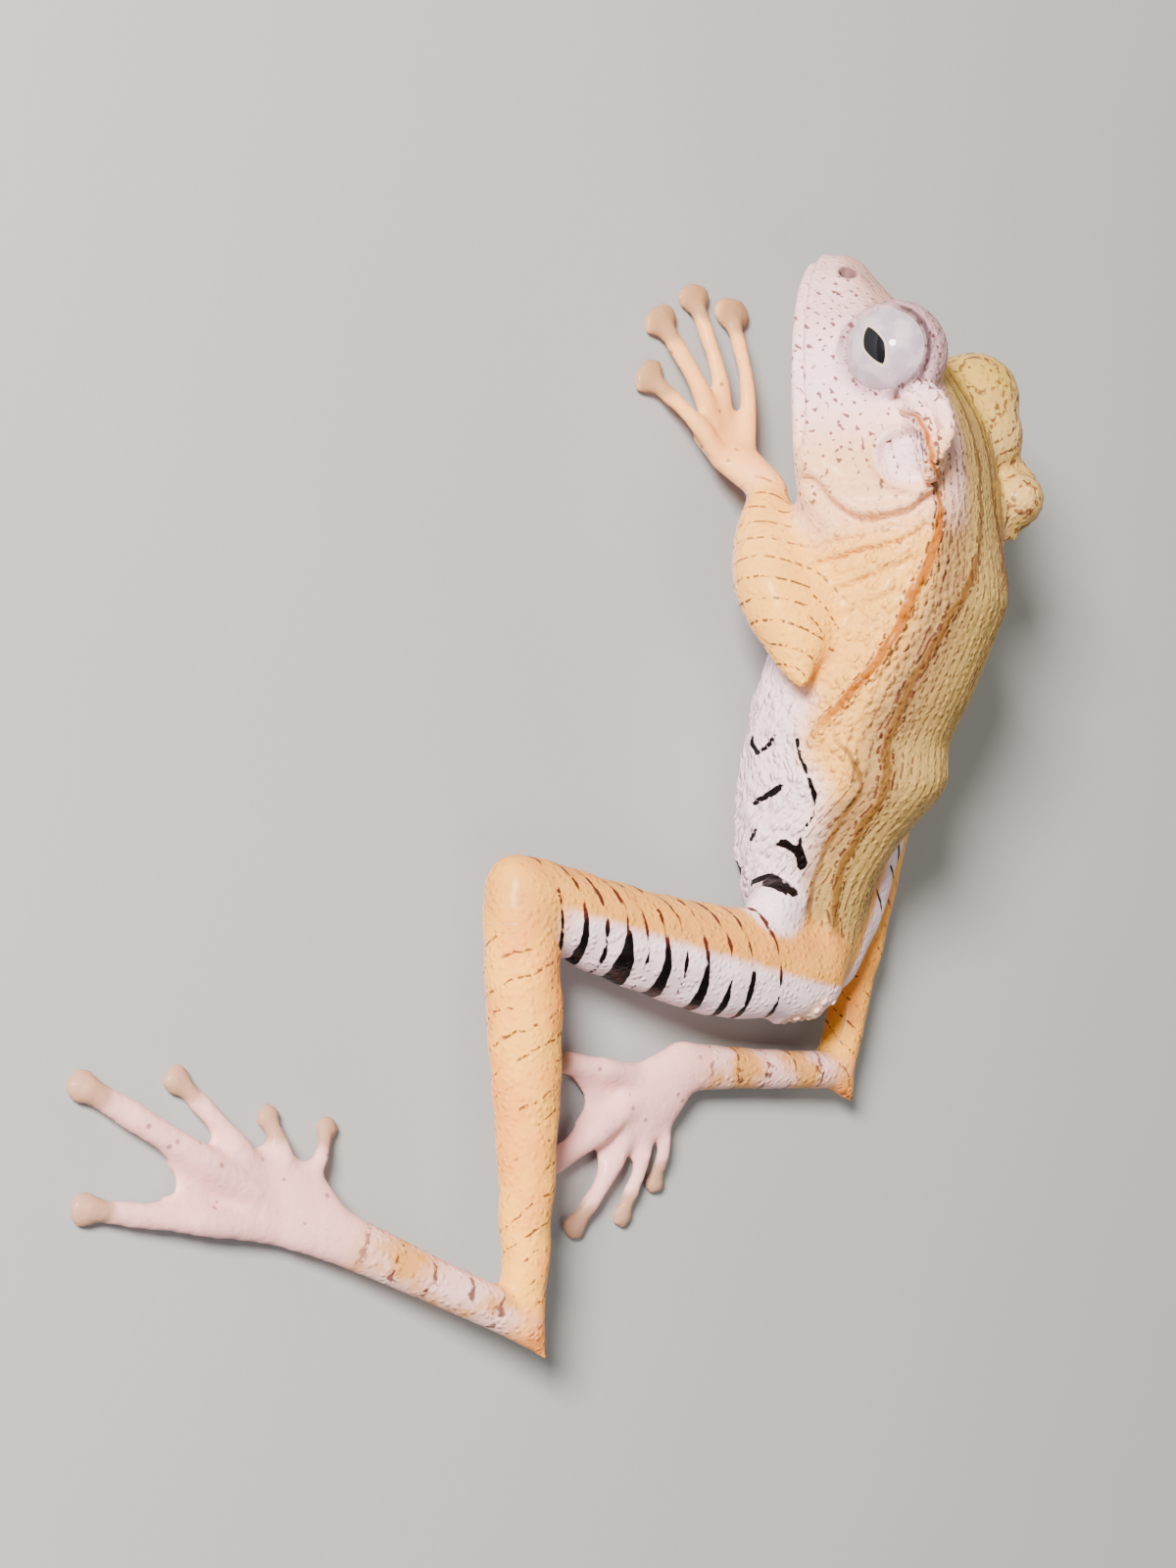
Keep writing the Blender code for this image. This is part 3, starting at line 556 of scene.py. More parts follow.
def spur_direction(hand):
    heel = np.array(HEEL[hand])
    back = np.zeros(3)
    for other in (KNEE[hand], ANKLE[hand]):
        step = heel - np.array(other)
        back += step / np.linalg.norm(step)
    return back / np.linalg.norm(back)


def model_limbs(clay):
    for hand in HANDS:
        clay.limb(SHOULDER[hand], ELBOW[hand], UPPER_ARM_GIRTH)
        clay.limb(ELBOW[hand], WRIST[hand], FOREARM_GIRTH, on_side(FOREARM_BOW, hand))
        elbow = np.array(ELBOW[hand])
        ahead = elbow - np.array(WRIST[hand])
        ahead /= np.linalg.norm(ahead)
        point = [elbow + ahead * ELBOW_POINT * share for share in ELBOW_SHARES]
        clay.tube(point, ELBOW_RADII, None, 14)
        clay.limb(HIP[hand], KNEE[hand], THIGH_GIRTH, THIGH_BOW)
        clay.limb(KNEE[hand], HEEL[hand], SHANK_GIRTH, SHANK_BOW)
        clay.limb(HEEL[hand], ANKLE[hand], TARSUS_GIRTH)
        model_hand(clay, hand)
        model_foot(clay, hand)
        heel = np.array(HEEL[hand])
        reach = [heel + spur_direction(hand) * SPUR_LENGTH * share for share in SPUR_SHARES]
        clay.tube(reach, SPUR_RADII, None, 14)


def put(name, data):
    """A new object in the scene."""
    piece = bpy.data.objects.new(name, data)
    bpy.context.scene.collection.objects.link(piece)
    return piece


def fuse(clay):
    """One closed skin round all the clay."""
    mesh = bpy.data.meshes.new("clay")
    mesh.from_pydata(clay.verts, [], clay.faces)
    lump = put("clay", mesh)
    step = lump.modifiers.new("fuse", "REMESH")
    step.mode = "VOXEL"
    step.voxel_size = VOXEL
    graph = bpy.context.evaluated_depsgraph_get()
    fused = bpy.data.meshes.new_from_object(lump.evaluated_get(graph))
    bpy.data.objects.remove(lump)
    return fused


def read_rows(items, name, kind=np.float32, width=3):
    """One of a mesh's own numbers, a row for each item."""
    values = np.empty(len(items) * width, kind)
    items.foreach_get(name, values)
    return values.reshape(-1, width)


def read_verts(mesh):
    return read_rows(mesh.vertices, "co").astype(float)


def write_verts(mesh, verts):
    mesh.vertices.foreach_set("co", verts.astype(np.float32).ravel())
    mesh.update()


def read_normals(mesh):
    return read_rows(mesh.vertex_normals, "vector").astype(float)


def relax(mesh, times, amount):
    """Draws each point towards the middle of its neighbours, by its own amount."""
    a, b = read_rows(mesh.edges, "vertices", np.int32, 2).T
    verts = read_verts(mesh)
    count = len(verts)
    degree = np.bincount(a, minlength=count) + np.bincount(b, minlength=count)
    pull = np.broadcast_to(amount, (count,))[:, None]
    for _ in range(times):
        sums = [
            np.bincount(a, verts[b, k], count) + np.bincount(b, verts[a, k], count)
            for k in range(3)
        ]
        verts += (np.stack(sums, axis=1) / degree[:, None] - verts) * pull
    write_verts(mesh, verts)


def away_from(points, path):
    """Each point's distance to a path, and how far along the path its nearest place is."""
    path = np.array(path, float)
    best = np.full(len(points), 1e9)
    share = np.zeros(len(points))
    for k in range(len(path) - 1):
        a, b = path[k], path[k + 1]
        step = b - a
        t = np.clip((points - a) @ step / (step @ step), 0, 1)
        gap = np.linalg.norm(points - (a + t[:, None] * step), axis=1)
        closer = gap < best
        best = np.where(closer, gap, best)
        share = np.where(closer, (k + t) / (len(path) - 1), share)
    return best, share


# The head's part of the body's centre line: distance behind the snout, height and mean radius.
HEAD_LINE = (
    (0.0, 1.5, 3.0), (5.0, 2.5, 7.0), (10.0, 3.6, 10.0), (17.0, 5.0, 12.2), (25.0, 6.2, 13.6),
)


def body_line():
    """The body's centre line from the snout on: x, centre y and z, roll and mean radius."""
    rows = []
    for distance, height, size in HEAD_LINE:
        x, y, z = from_head((distance, 0, height))[0]
        rows.append((x, y, z, HEAD_ROLL, size))
    for x, y, z, half_width, above, below, roll in TRUNK_SECTIONS:
        rows.append((x, y, z, roll, (half_width + above) / 2))
    return smooth_table(rows, 200)


def body_places(verts):
    """Place along the body behind the snout, and distance round it from the middle of the back."""
    line = body_line()
    x = verts[:, 0]
    centre_y, centre_z, roll, size = (np.interp(x, line[:, 0], line[:, k]) for k in (1, 2, 3, 4))
    roll = np.radians(roll)
    y, z = verts[:, 1] - centre_y, verts[:, 2] - centre_z
    lateral = y * np.cos(roll) - z * np.sin(roll)
    upward = y * np.sin(roll) + z * np.cos(roll)
    return x - HEAD_ORIGIN[0], np.arctan2(lateral, upward) * size


def bones():
    """Each limb's lengths: name, side, start, end and radius."""
    found = []
    for hand in HANDS:
        found += [
            ("arm", hand, SHOULDER[hand], ELBOW[hand], 4.0),
            ("arm", hand, ELBOW[hand], WRIST[hand], 4.2),
            ("hand", hand, WRIST[hand], palm_of(hand)[0], 3.4),
            ("thigh", hand, HIP[hand], KNEE[hand], 5.4),
            ("shank", hand, KNEE[hand], HEEL[hand], 3.8),
            ("tarsus", hand, HEEL[hand], ANKLE[hand], 3.0),
            ("foot", hand, ANKLE[hand], sole_of(hand)[0], 4.6),
        ]
    return found


# A distance that is out of reach of any limb or mark.
FAR = 9.0
# A point belongs to the limb that is nearest for its width. Limbs give way a little to the trunk.
GIVING_WAY = 1.04
BELONGING = 9
DIGIT_REACH = 1.9
TRUNK_END = (11.0, 16.0)
DIGIT_LENGTH = 20.0


def limb_places(verts):
    """For each point: its share of every kind of limb, its place along the nearest one, its turn
    round that one, and its place on the body."""
    along_body, around = body_places(verts)
    line = body_line()
    x = verts[:, 0]
    centre_y, centre_z, size = (np.interp(x, line[:, 0], line[:, k]) for k in (1, 2, 4))
    from_line = gap_to(verts, np.stack([x, centre_y, centre_z], axis=1))
    ratios = [from_line / size + fade(x, *TRUNK_END) * FAR]
    places = []
    for name, hand, start, end, radius in bones():
        start, end = np.array(start, float), np.array(end, float)
        ratios.append(away_from(verts, [start, end])[0] / radius * GIVING_WAY)
        ahead = (end - start) / np.linalg.norm(end - start)
        side = np.cross((0, 0, 1), ahead) * (1 if hand == "left" else -1)
        side /= np.linalg.norm(side)
        upright = np.cross(ahead, side)
        upright *= np.sign(upright[2])
        offset = verts - start
        places.append((name, offset @ ahead, np.arctan2(offset @ side, offset @ upright)))
    for path in DIGITS:
        gap, share = away_from(verts, path)
        ratios.append(gap / DIGIT_REACH)
        places.append(("digit", share * DIGIT_LENGTH, np.zeros(len(verts))))
    ratios = np.stack(ratios, axis=1)
    weights = np.exp(-(ratios - ratios.min(axis=1)[:, None]) * BELONGING)
    weights /= weights.sum(axis=1)[:, None]
    nearest = ratios[:, 1:].argmin(axis=1)
    shares = {"trunk": weights[:, 0]}
    place, turn = np.zeros((2, len(verts)))
    for k, (name, values, turns) in enumerate(places):
        shares[name] = shares.get(name, 0) + weights[:, k + 1]
        place = np.where(nearest == k, values, place)
        turn = np.where(nearest == k, turns, turn)
    return shares, place, turn, along_body, around


def refine(mesh, wanted):
    """Splits the edges between wanted points, for finer shapes there."""
    bm = bmesh.new()
    bm.from_mesh(mesh)
    bm.verts.ensure_lookup_table()
    edges = [e for e in bm.edges if wanted[e.verts[0].index] and wanted[e.verts[1].index]]
    bmesh.ops.subdivide_edges(bm, edges=edges, cuts=1, use_grid_fill=True)
    bm.to_mesh(mesh)
    bm.free()


def mouth_height(x):
    """The mouth line's height in the head's own frame: level, then dropping to its corner."""
    return -0.03 * np.maximum(x - 20.0, 0) ** 2


def aperture(turn):
    """The lids' opening, as an angle from the middle of the eye; turn 0 is towards the snout."""
    return np.radians(LID_OPENING - LID_OVAL * np.cos(2 * turn))


def eye_axes(hand):
    """Across and up directions square to the eye's own axis."""
    axis = EYE_DIRECTION[hand]
    forward = -HEAD[:3, 0]
    across = forward - axis * (forward @ axis)
    across /= np.linalg.norm(across)
    up = np.cross(axis, across)
    up *= np.sign(up @ HEAD[:3, 2])
    return axis, across, up


def eye_angles(verts, hand):
    axis, across, up = eye_axes(hand)
    offset = verts - EYE_CENTRE[hand]
    distance = np.linalg.norm(offset, axis=1)
    unit = offset / distance[:, None]
    return distance, np.arccos(np.clip(unit @ axis, -1, 1)), np.arctan2(unit @ up, unit @ across)


# Lines of the head's relief, on its right side, in the head's own frame.
CANTHUS = ((12.2, 8.4, 9.8), (8.0, 6.7, 7.7), (4.8, 4.9, 5.4))
BROW_LINE = ((3.6, 3.0, 5.8), (7.5, 4.6, 8.9), (11.6, 5.8, 11.6))
EAR_FOLD = (
    (22.4, 12.0, 11.4), (25.0, 12.9, 12.8), (28.5, 13.4, 13.2), (31.8, 13.0, 12.0),
    (32.6, 12.2, 8.6), (32.0, 12.2, 5.0), (29.8, 12.8, 2.0),
)
HEAD_RIDGES = ((0.38, CANTHUS, 0.9), (0.75, EAR_FOLD, 0.85))
# How far behind the snout the head's relief runs out.
HEAD_END = (42.0, 48.0)
EYE_CREASE_DEPTH = 0.35
EYE_CREASE_WIDTH = 0.07
# Rise, gap and width: the mouth line with its lips, and the rings of the nostril and the eardrum.
MOUTH_LINES = ((-0.50, 0.0, 0.30), (0.30, 0.95, 0.55), (0.20, -0.85, 0.50))
NOSTRIL_RINGS = ((0.34, 1.15, 0.42), (-0.85, 0.0, 0.65))
EAR_RINGS = ((0.60, EAR_RADIUS, 0.50), (0.25, 0.0, 0.9))
EAR_DEPTH = 0.55
EAR_FLOOR = (2.0, 3.0)
# Round forms: rise, place, width and how much each axis counts. They are the hollow before the
# eye, the swelling below it and the jaw's corner, on both sides, then the dip between the eyes.
HEAD_FORMS = (
    (-0.55, (8.4, 8.9, 4.4), 2.6),
    (0.5, (13.5, 11.6, 5.0), 2.6),
    (0.9, (31.0, 12.6, -0.6), 2.4, (0.7, 1.0, 1.0)),
)
EYE_DIP = (-0.5, (17.5, 0.0, 13.2), 3.6, (0.6, 1.0, 1.0))
# Folds of the neck behind the jaw: depth and width, then places behind the snout and round from
# the middle of the back.
NECK_FOLDS = (
    (1.30, 0.70, ((25.8, 27.0), (28.4, 25.0), (30.2, 21.6), (29.6, 16.7), (27.8, 14.2))),
    (0.50, 0.40, ((32.6, 24.4), (31.8, 20.0), (30.9, 16.6), (29.4, 14.2))),
    (0.90, 0.50, ((35.0, 24.6), (33.6, 21.0), (32.5, 16.7), (30.6, 13.8))),
    (0.45, 0.40, ((37.0, 24.0), (35.2, 20.0), (33.8, 16.4), (32.4, 14.2))),
    (0.85, 0.50, ((39.0, 24.0), (37.2, 20.6), (35.4, 17.0), (34.0, 14.6))),
    (0.55, 0.45, ((41.5, 22.5), (39.6, 19.0), (38.0, 15.8))),
)
# Lumps in front of the left thigh and beside the vent, as round forms.
GROIN_LUMP = (1.7, (2.5, -7.1, 11.4), 2.6)
VENT_LUMPS = (
    (0.8, (15.0, -2.6, 8.6), 0.9),
    (1.0, (15.6, -0.6, 9.0), 1.0),
    (0.8, (14.8, 1.4, 9.2), 0.9),
    (0.7, (14.4, -4.4, 9.4), 0.8),
    (0.8, (13.8, -0.8, 11.4), 0.9),
    (0.5, (12.6, -3.0, 12.0), 0.8),
)
# Low ridges along the back, and soft lumps: height, then spacing or size.
LANES = (0.08, 1.5)
LANES_END = (15.0, 18.0)
STRIPE_RIDGES = (0.42, 0.24)
STRIPE_RIDGE_WIDTH = 0.8
# Where the trunk's relief starts and ends, behind the snout, and where the flank's starts, round
# from the middle of the back.
RELIEF_START = (30.0, 38.0)
RELIEF_END = (70.0, 77.0)
FLANK_START = (8.0, 12.0)
# The swelling in front of each fold of the neck, as a share of the fold's depth.
FOLD_SWELL = 0.7
FLANK_RIPPLES = ((0.24, 5.5), (0.16, 2.3))
LIMB_RIPPLE = (0.16, 6.0)


def line_gap(points, line):
    """Each point's distance to a smooth line through a few places."""
    return away_from(points, smooth_path(line, 4 * len(line)))[0]


def near_line(points, line, width):
    """1 on a smooth line through a few places, falling off beside it."""
    return hump(line_gap(points, line), width)


def shape_head(verts):
    """Lips, mouth line, nostrils, eardrums, brows and folds, as heights over the skin."""
    local = to_head(verts)
    x, y, z = local.T
    half = np.interp(x, [r[0] for r in HEAD_PROFILE], [r[1] for r in HEAD_PROFILE])
    outer = np.clip(fade(np.abs(y) / half, 0.6, 0.85) + (x < 1.5), 0, 1)
    at_mouth = outer * (1 - fade(x, MOUTH_END - 3, MOUTH_END)) * (np.abs(z) < 4)
    height = rings(z - mouth_height(x), MOUTH_LINES) * at_mouth
    for hand in HANDS:
        right = np.stack([x, y * hand_sign(hand), z], axis=1)
        height += rings(gap_to(right, NOSTRIL_PLACE, NOSTRIL_STRETCH), NOSTRIL_RINGS)
        for rise, line, width in HEAD_RIDGES:
            height += rise * near_line(right, line, width)
        drum = gap_to(right, EAR_PLACE, EAR_STRETCH)
        hollow = EAR_DEPTH * (1 - fade(drum, *EAR_FLOOR))
        height += (rings(drum, EAR_RINGS) - hollow) * (right[:, 1] > 8)
        for row in HEAD_FORMS:
            height += form(right, *row)
        ridge = smooth_path(CREST_POINTS, CREST_STEPS) + (0, CREST_FLARE[hand], 0)
        gap, share = away_from(right, ridge)
        teeth = 0.5 + 0.5 * np.cos(2 * math.pi * CREST_TEETH * share)
        teeth *= np.sign(y) == hand_sign(hand)
        height += CREST_TOOTH[hand] * hump(gap, TOOTH_REACH) * teeth
        distance, tilt, turn = eye_angles(verts, hand)
        crease = hump(tilt - aperture(turn) - EYE_CREASE, EYE_CREASE_WIDTH)
        crease *= fade(-np.cos(turn), 0.3, 0.8)
        crease *= 1 - fade(distance, EYE_RADIUS + 1.0, EYE_RADIUS + 2.5)
        height -= EYE_CREASE_DEPTH * crease
    height += form(local, *EYE_DIP)
    return height * (1 - fade(x, *HEAD_END))


def ripple(values, size):
    """Soft lumps without a pattern, from waves that don't share a period."""
    x, y, z = (values * (2 * math.pi / size)).T
    waves = np.sin(x + 1.7 * np.sin(0.61 * y)) + np.sin(1.13 * y + 1.3 * np.sin(0.83 * z + 1.0))
    return (waves + np.sin(0.94 * z + 1.9 * np.sin(0.71 * x + 2.0))) / 3


def beyond(line, along, side):
    """How far outside one of the body's lines each point lies."""
    return side - np.interp(along, line[0], line[1])


def shape_body(verts, shares, along, around):
    """The ridges along the back, creases of the neck, lumps and soft unevenness."""
    side, trunk = np.abs(around), shares["trunk"]
    height = np.zeros(len(verts))
    on_trunk = trunk * fade(along, *RELIEF_START) * (1 - fade(along, *RELIEF_END))
    flat_place = np.stack([along, side], axis=1)
    for depth, width, line in NECK_FOLDS:
        swell = near_line(flat_place + (1.1 * width + 0.3, 0), line, 1.2 * width)
        height += depth * (FOLD_SWELL * swell - near_line(flat_place, line, width)) * trunk
    for row in (GROIN_LUMP,) + VENT_LUMPS:
        height += form(verts, *row)
    rise, spacing = LANES
    lanes = rise * np.cos(side * 2 * math.pi / spacing + 0.9 * ripple(verts, 11.0))
    height += lanes * on_trunk * (1 - fade(side, *LANES_END))
    for rise, stripe in zip(STRIPE_RIDGES, (ORANGE, BROWN)):
        height += rise * hump(beyond(stripe, along, side), STRIPE_RIDGE_WIDTH) * on_trunk
    for rise, size in FLANK_RIPPLES:
        height += rise * ripple(verts, size) * on_trunk * fade(side, *FLANK_START)
    rise, size = LIMB_RIPPLE
    limbs = shares["thigh"] + shares["shank"] + shares["arm"]
    return height + rise * ripple(verts, size) * (1 - trunk) * limbs


# Rings from the lid's edge inwards: depth below the eyeball's surface, and share of the opening.
LID_RINGS = ((-LID_THICKNESS * 0.6, 0.965), (0.35, 0.975), (SOCKET_DEPTH, 0.6), (SOCKET_DEPTH, 0.3))


def open_eyes(mesh):
    """Cuts each lid's opening, gives the lid a thick edge and closes the socket behind the eye."""
    bm = bmesh.new()
    bm.from_mesh(mesh)
    for hand in HANDS:
        axis, across, up = (Vector(v) for v in eye_axes(hand))
        centre = Vector(EYE_CENTRE[hand])

        def angles(point):
            unit = (point - centre).normalized()
            tilt = math.acos(max(-1, min(1, unit.dot(axis))))
            return tilt, math.atan2(unit.dot(up), unit.dot(across))

        def placed(tilt, turn, radius):
            flat = across * math.cos(turn) + up * math.sin(turn)
            return centre + (axis * math.cos(tilt) + flat * math.sin(tilt)) * radius

        near = []
        for face in bm.faces:
            middle = face.calc_center_median()
            if (middle - centre).length < EYE_RADIUS + 1.6:
                tilt, turn = angles(middle)
                if tilt < aperture(turn):
                    near.append(face)
        bmesh.ops.delete(bm, geom=near, context="FACES")
        cut = [e for e in bm.edges if e.is_boundary]
        rim = [e for e in cut if (e.verts[0].co - centre).length < EYE_RADIUS + 2]
        lip = {v for e in rim for v in e.verts}
        for vert in lip:
            tilt, turn = angles(vert.co)
            vert.co = placed(aperture(turn), turn, EYE_RADIUS + LID_THICKNESS * 0.9)
        for inward, share in LID_RINGS:
            grown = bmesh.ops.extrude_edge_only(bm, edges=rim)["geom"]
            rim = [g for g in grown if isinstance(g, bmesh.types.BMEdge)]
            for vert in {v for e in rim for v in e.verts}:
                tilt, turn = angles(vert.co)
                vert.co = placed(aperture(turn) * share, turn, EYE_RADIUS - inward)
        middle = bm.verts.new(placed(0.0, 0.0, EYE_RADIUS - SOCKET_DEPTH))
        for edge in rim:
            bm.faces.new((edge.verts[0], edge.verts[1], middle))
    bmesh.ops.recalc_face_normals(bm, faces=bm.faces)
    bm.to_mesh(mesh)
    bm.free()


# Stripes and the edge of the white flank: distance behind the snout, and distance round from the
# middle of the back, the same on both sides.
ORANGE = (
    (18.5, 19.8, 24.6, 26.4, 28.9, 31.4, 33.9, 37.1, 41.7, 45.1, 48.5, 51.0, 56.0),
    (15.2, 14.3, 14.3, 13.2, 12.1, 12.3, 12.5, 13.3, 13.6, 14.2, 15.4, 16.4, 17.5),
)
BROWN = (
    (8.0, 15.5, 20.0, 24.0, 28.7, 34.0, 39.6, 47.0, 54.0, 58.5, 66.0, 75.0),
    (3.0, 3.4, 3.4, 2.6, 3.2, 5.6, 8.4, 9.6, 8.9, 7.7, 5.6, 3.0),
)
LOW_LINE = ((52.0, 55.0, 58.0, 62.3, 67.0, 71.6, 78.0), (15.0, 12.2, 10.4, 9.2, 8.0, 6.8, 5.0))
WHITE_EDGE = (
    (30.0, 38.0, 43.0, 50.0, 55.0, 60.0, 66.0, 72.0),
    (29.0, 25.5, 21.0, 19.4, 17.6, 13.4, 9.8, 8.4),
)
# Black marks low on the flank: half width, then places like those of the stripes.
FLANK_MARKS = (
    (0.28, ((52.7, 25.2), (54.3, 23.6), (52.7, 21.4))),
    (0.50, ((59.6, 22.4), (59.0, 21.2), (58.1, 19.9))),
    (0.55, ((63.0, 18.7), (63.5, 18.5))),
    (0.42, ((64.0, 14.2), (64.6, 12.6), (64.9, 11.5), (66.5, 9.8))),
    (0.22, ((53.0, 18.6), (55.1, 17.4), (57.7, 16.2), (60.7, 13.4), (62.4, 12.7), (64.9, 11.5))),
    (0.47, ((68.6, 14.6), (67.7, 12.6), (68.6, 10.6), (69.6, 8.8))),
    (0.35, ((66.5, 20.6), (67.4, 18.8), (66.9, 17.4))),
)
# Bars across the thigh: distance from the hip, and half width on the white rear side.
THIGH_BARS = ((7.4, 0.22), (11.6, 0.35), (14.7, 0.4), (18.3, 0.75), (21.2, 0.19), (23.8, 0.85),
              (26.4, 0.19), (29.0, 1.3), (31.8, 0.19), (34.6, 0.65), (37.6, 0.45))
THIN_BAR = 0.19
BAR_END = 1.75
BAR_SLANT = 2.0
BAR_START = 0.4
# Turns at which a bar widens and narrows again, by how much it narrows, and how fast it ends.
BAR_WIDENS = (0.25, 1.3)
BAR_NARROWS = (1.6, 2.4)
BAR_NARROWING = 0.75
BAR_ENDING = 2.0
VENT_PLACE = (14.0, -1.0, 9.8)
EAR_PAINT_STRETCH = (1.0, 0.5, 0.92)


def bar_distance(place, turn):
    """How far each point is outside the nearest bar of the thigh."""
    slanted = place + BAR_SLANT * (turn - BAR_START)
    widest = fade(turn, *BAR_WIDENS) * (1 - BAR_NARROWING * fade(turn, *BAR_NARROWS))
    best = np.full(len(place), FAR)
    for middle, half_width in THIGH_BARS:
        reach = THIN_BAR + (half_width - THIN_BAR) * widest
        best = np.minimum(best, np.abs(slanted - middle) - reach)
    return best + BAR_ENDING * np.maximum(turn - BAR_END, 0)


def ink_distance(shares, place, turn, along, side):
    """How far each point is outside the nearest black bar or mark."""
    flat_place = np.stack([along, side], axis=1)
    best = np.where(shares["thigh"] > 0.5, bar_distance(place, turn), FAR)
    for half_width, line in FLANK_MARKS:
        gap = line_gap(flat_place, line) - half_width
        best = np.minimum(best, np.where(shares["trunk"] > 0.5, gap, FAR))
    return best


def paint_places(mesh):
    """Numbers that the materials read: where each point is on the frog."""
    verts = read_verts(mesh)
    shares, place, turn, along, around = limb_places(verts)
    local = to_head(verts)
    x, y, z = local.T
    right = np.stack([x, np.abs(y), z], axis=1)
    side, trunk = np.abs(around), shares["trunk"]
    lid, socket, rim, crease_shade, crest, heels, disc = np.zeros((7, len(verts)))
    for hand in HANDS:
        distance, tilt, eye_turn = eye_angles(verts, hand)
        edge = tilt - aperture(eye_turn)
        near = 1 - fade(distance, EYE_RADIUS + 0.9, EYE_RADIUS + 1.6)
        above = fade(np.cos(eye_turn - 1.85), 0.0, 0.5)
        behind = fade(-np.cos(eye_turn), 0.3, 0.8)
        lid = np.maximum(lid, near * (1 - fade(edge, 0.9, 1.5)))
        # Painted shade: a thin dark line along the upper edge of each lid's opening, where the
        # lid's edge overhangs the eye.
        rim = np.maximum(rim, near * above * (1 - fade(np.abs(edge - 0.04), 0.05, 0.12)))
        crease = 1 - fade(np.abs(edge - EYE_CREASE), 0.03, 0.12)
        # Painted shade in the crease behind each eye.
        crease_shade = np.maximum(crease_shade, near * behind * crease)
        # Painted shade: the socket round and behind the eyeball, between eye and lid.
        socket = np.maximum(socket, 1 - fade(distance, EYE_RADIUS + 0.1, EYE_RADIUS + 0.35))
        ridge = smooth_path([on_side(p, hand) for p in CREST_POINTS], 18)
        ridge = from_head(ridge + (0, hand_sign(hand) * CREST_FLARE[hand], 0))
        crest = np.maximum(crest, 1 - fade(away_from(verts, ridge)[0], 1.6, 2.8))
        spur = np.array(HEEL[hand]) + spur_direction(hand) * SPUR_LENGTH * 0.8
        heels = np.maximum(heels, 1 - fade(gap_to(verts, spur), 1.5, 5.5))
    crest = np.maximum(crest, 1 - fade(gap_to(verts, RIGHT_LOBE), 3.6, 5.0))
    for path in DIGITS:
        disc = np.maximum(disc, 1 - fade(gap_to(verts[:, :2], path[-1][:2]), 1.9, 3.2))
    disc *= 1 - fade(verts[:, 2], 3.0, 4.0)
    top = z / np.interp(x, [r[0] for r in HEAD_PROFILE], [r[2] for r in HEAD_PROFILE])
    ahead = 1 - fade(x, 9, 15)
    vent = 1 - fade(gap_to(verts, VENT_PLACE), 2.5, 5.0)
    flank = trunk * fade(side, 12.5, 14.5) * (1 - fade(side, 17.5, 20.0))
    flank *= fade(along, 36, 42) * (1 - fade(along, 52, 64))
    grain = np.clip(flank * 0.5 + vent * 0.6, 0, 1) * fade(verts[:, 2], 1.5, 3.5)
    # On the right side the orange stripe starts farther back.
    not_right = FAR * (around > 0) * (1 - fade(along, 36, 40))
    numbers = {
        "along": along, "around": around, "place": place, "turn": turn,
        "orange": beyond(ORANGE, along, side) + not_right,
        "brown": beyond(BROWN, along, side),
        "low_line": beyond(LOW_LINE, along, side),
        "white": trunk * fade(beyond(WHITE_EDGE, along, side), -2.5, 2.0),
        "ink": ink_distance(shares, place, turn, along, side),
        "head": (1 - fade(x, 30, 37)) * trunk,
        "lid": lid, "socket": socket, "rim": rim, "crease_shade": crease_shade, "crest": crest, "disc": disc,
        "ear": 1 - fade(gap_to(right, EAR_PLACE, EAR_PAINT_STRETCH), 2.4, 3.3),
        # Painted shade in the hollow of each nostril.
        "nostril": 1 - fade(gap_to(right, NOSTRIL_PLACE, NOSTRIL_STRETCH), 0.95, 1.25),
        "groin": 1 - fade(gap_to(verts, GROIN_LUMP[1]), 2.8, 4.4),
        "snout": ahead * fade(top, 0.45, 0.85), "front": ahead * trunk,
        "brow_line": near_line(right, BROW_LINE, 0.3),
        "vent": vent, "heel": heels, "underside": fade(-read_normals(mesh)[:, 2], 0.25, 0.7),
        "trunk": trunk, "thigh": shares["thigh"], "shank": shares["shank"],
        "tarsus": shares["tarsus"], "foot": shares["foot"] + shares["digit"] + shares["hand"],
        "arm": shares["arm"], "hand": 1 - fade(verts[:, 0], -42, -34),
        "grain": grain, "grain_size": 0.75 + 0.5 * vent,
    }
    write_numbers(mesh, numbers)


def write_numbers(mesh, numbers):
    for name, values in numbers.items():
        layer = mesh.attributes.new(name, "FLOAT", "POINT")
        layer.data.foreach_set("value", values.astype(np.float32))


def to_frame(mesh):
    """From millimetres in the frog's own place to metres in the frame's."""
    write_verts(mesh, (read_verts(mesh) + FRAME_SHIFT) * MM)


def link(name, mesh):
    mesh.shade_smooth()
    return put(name, mesh)


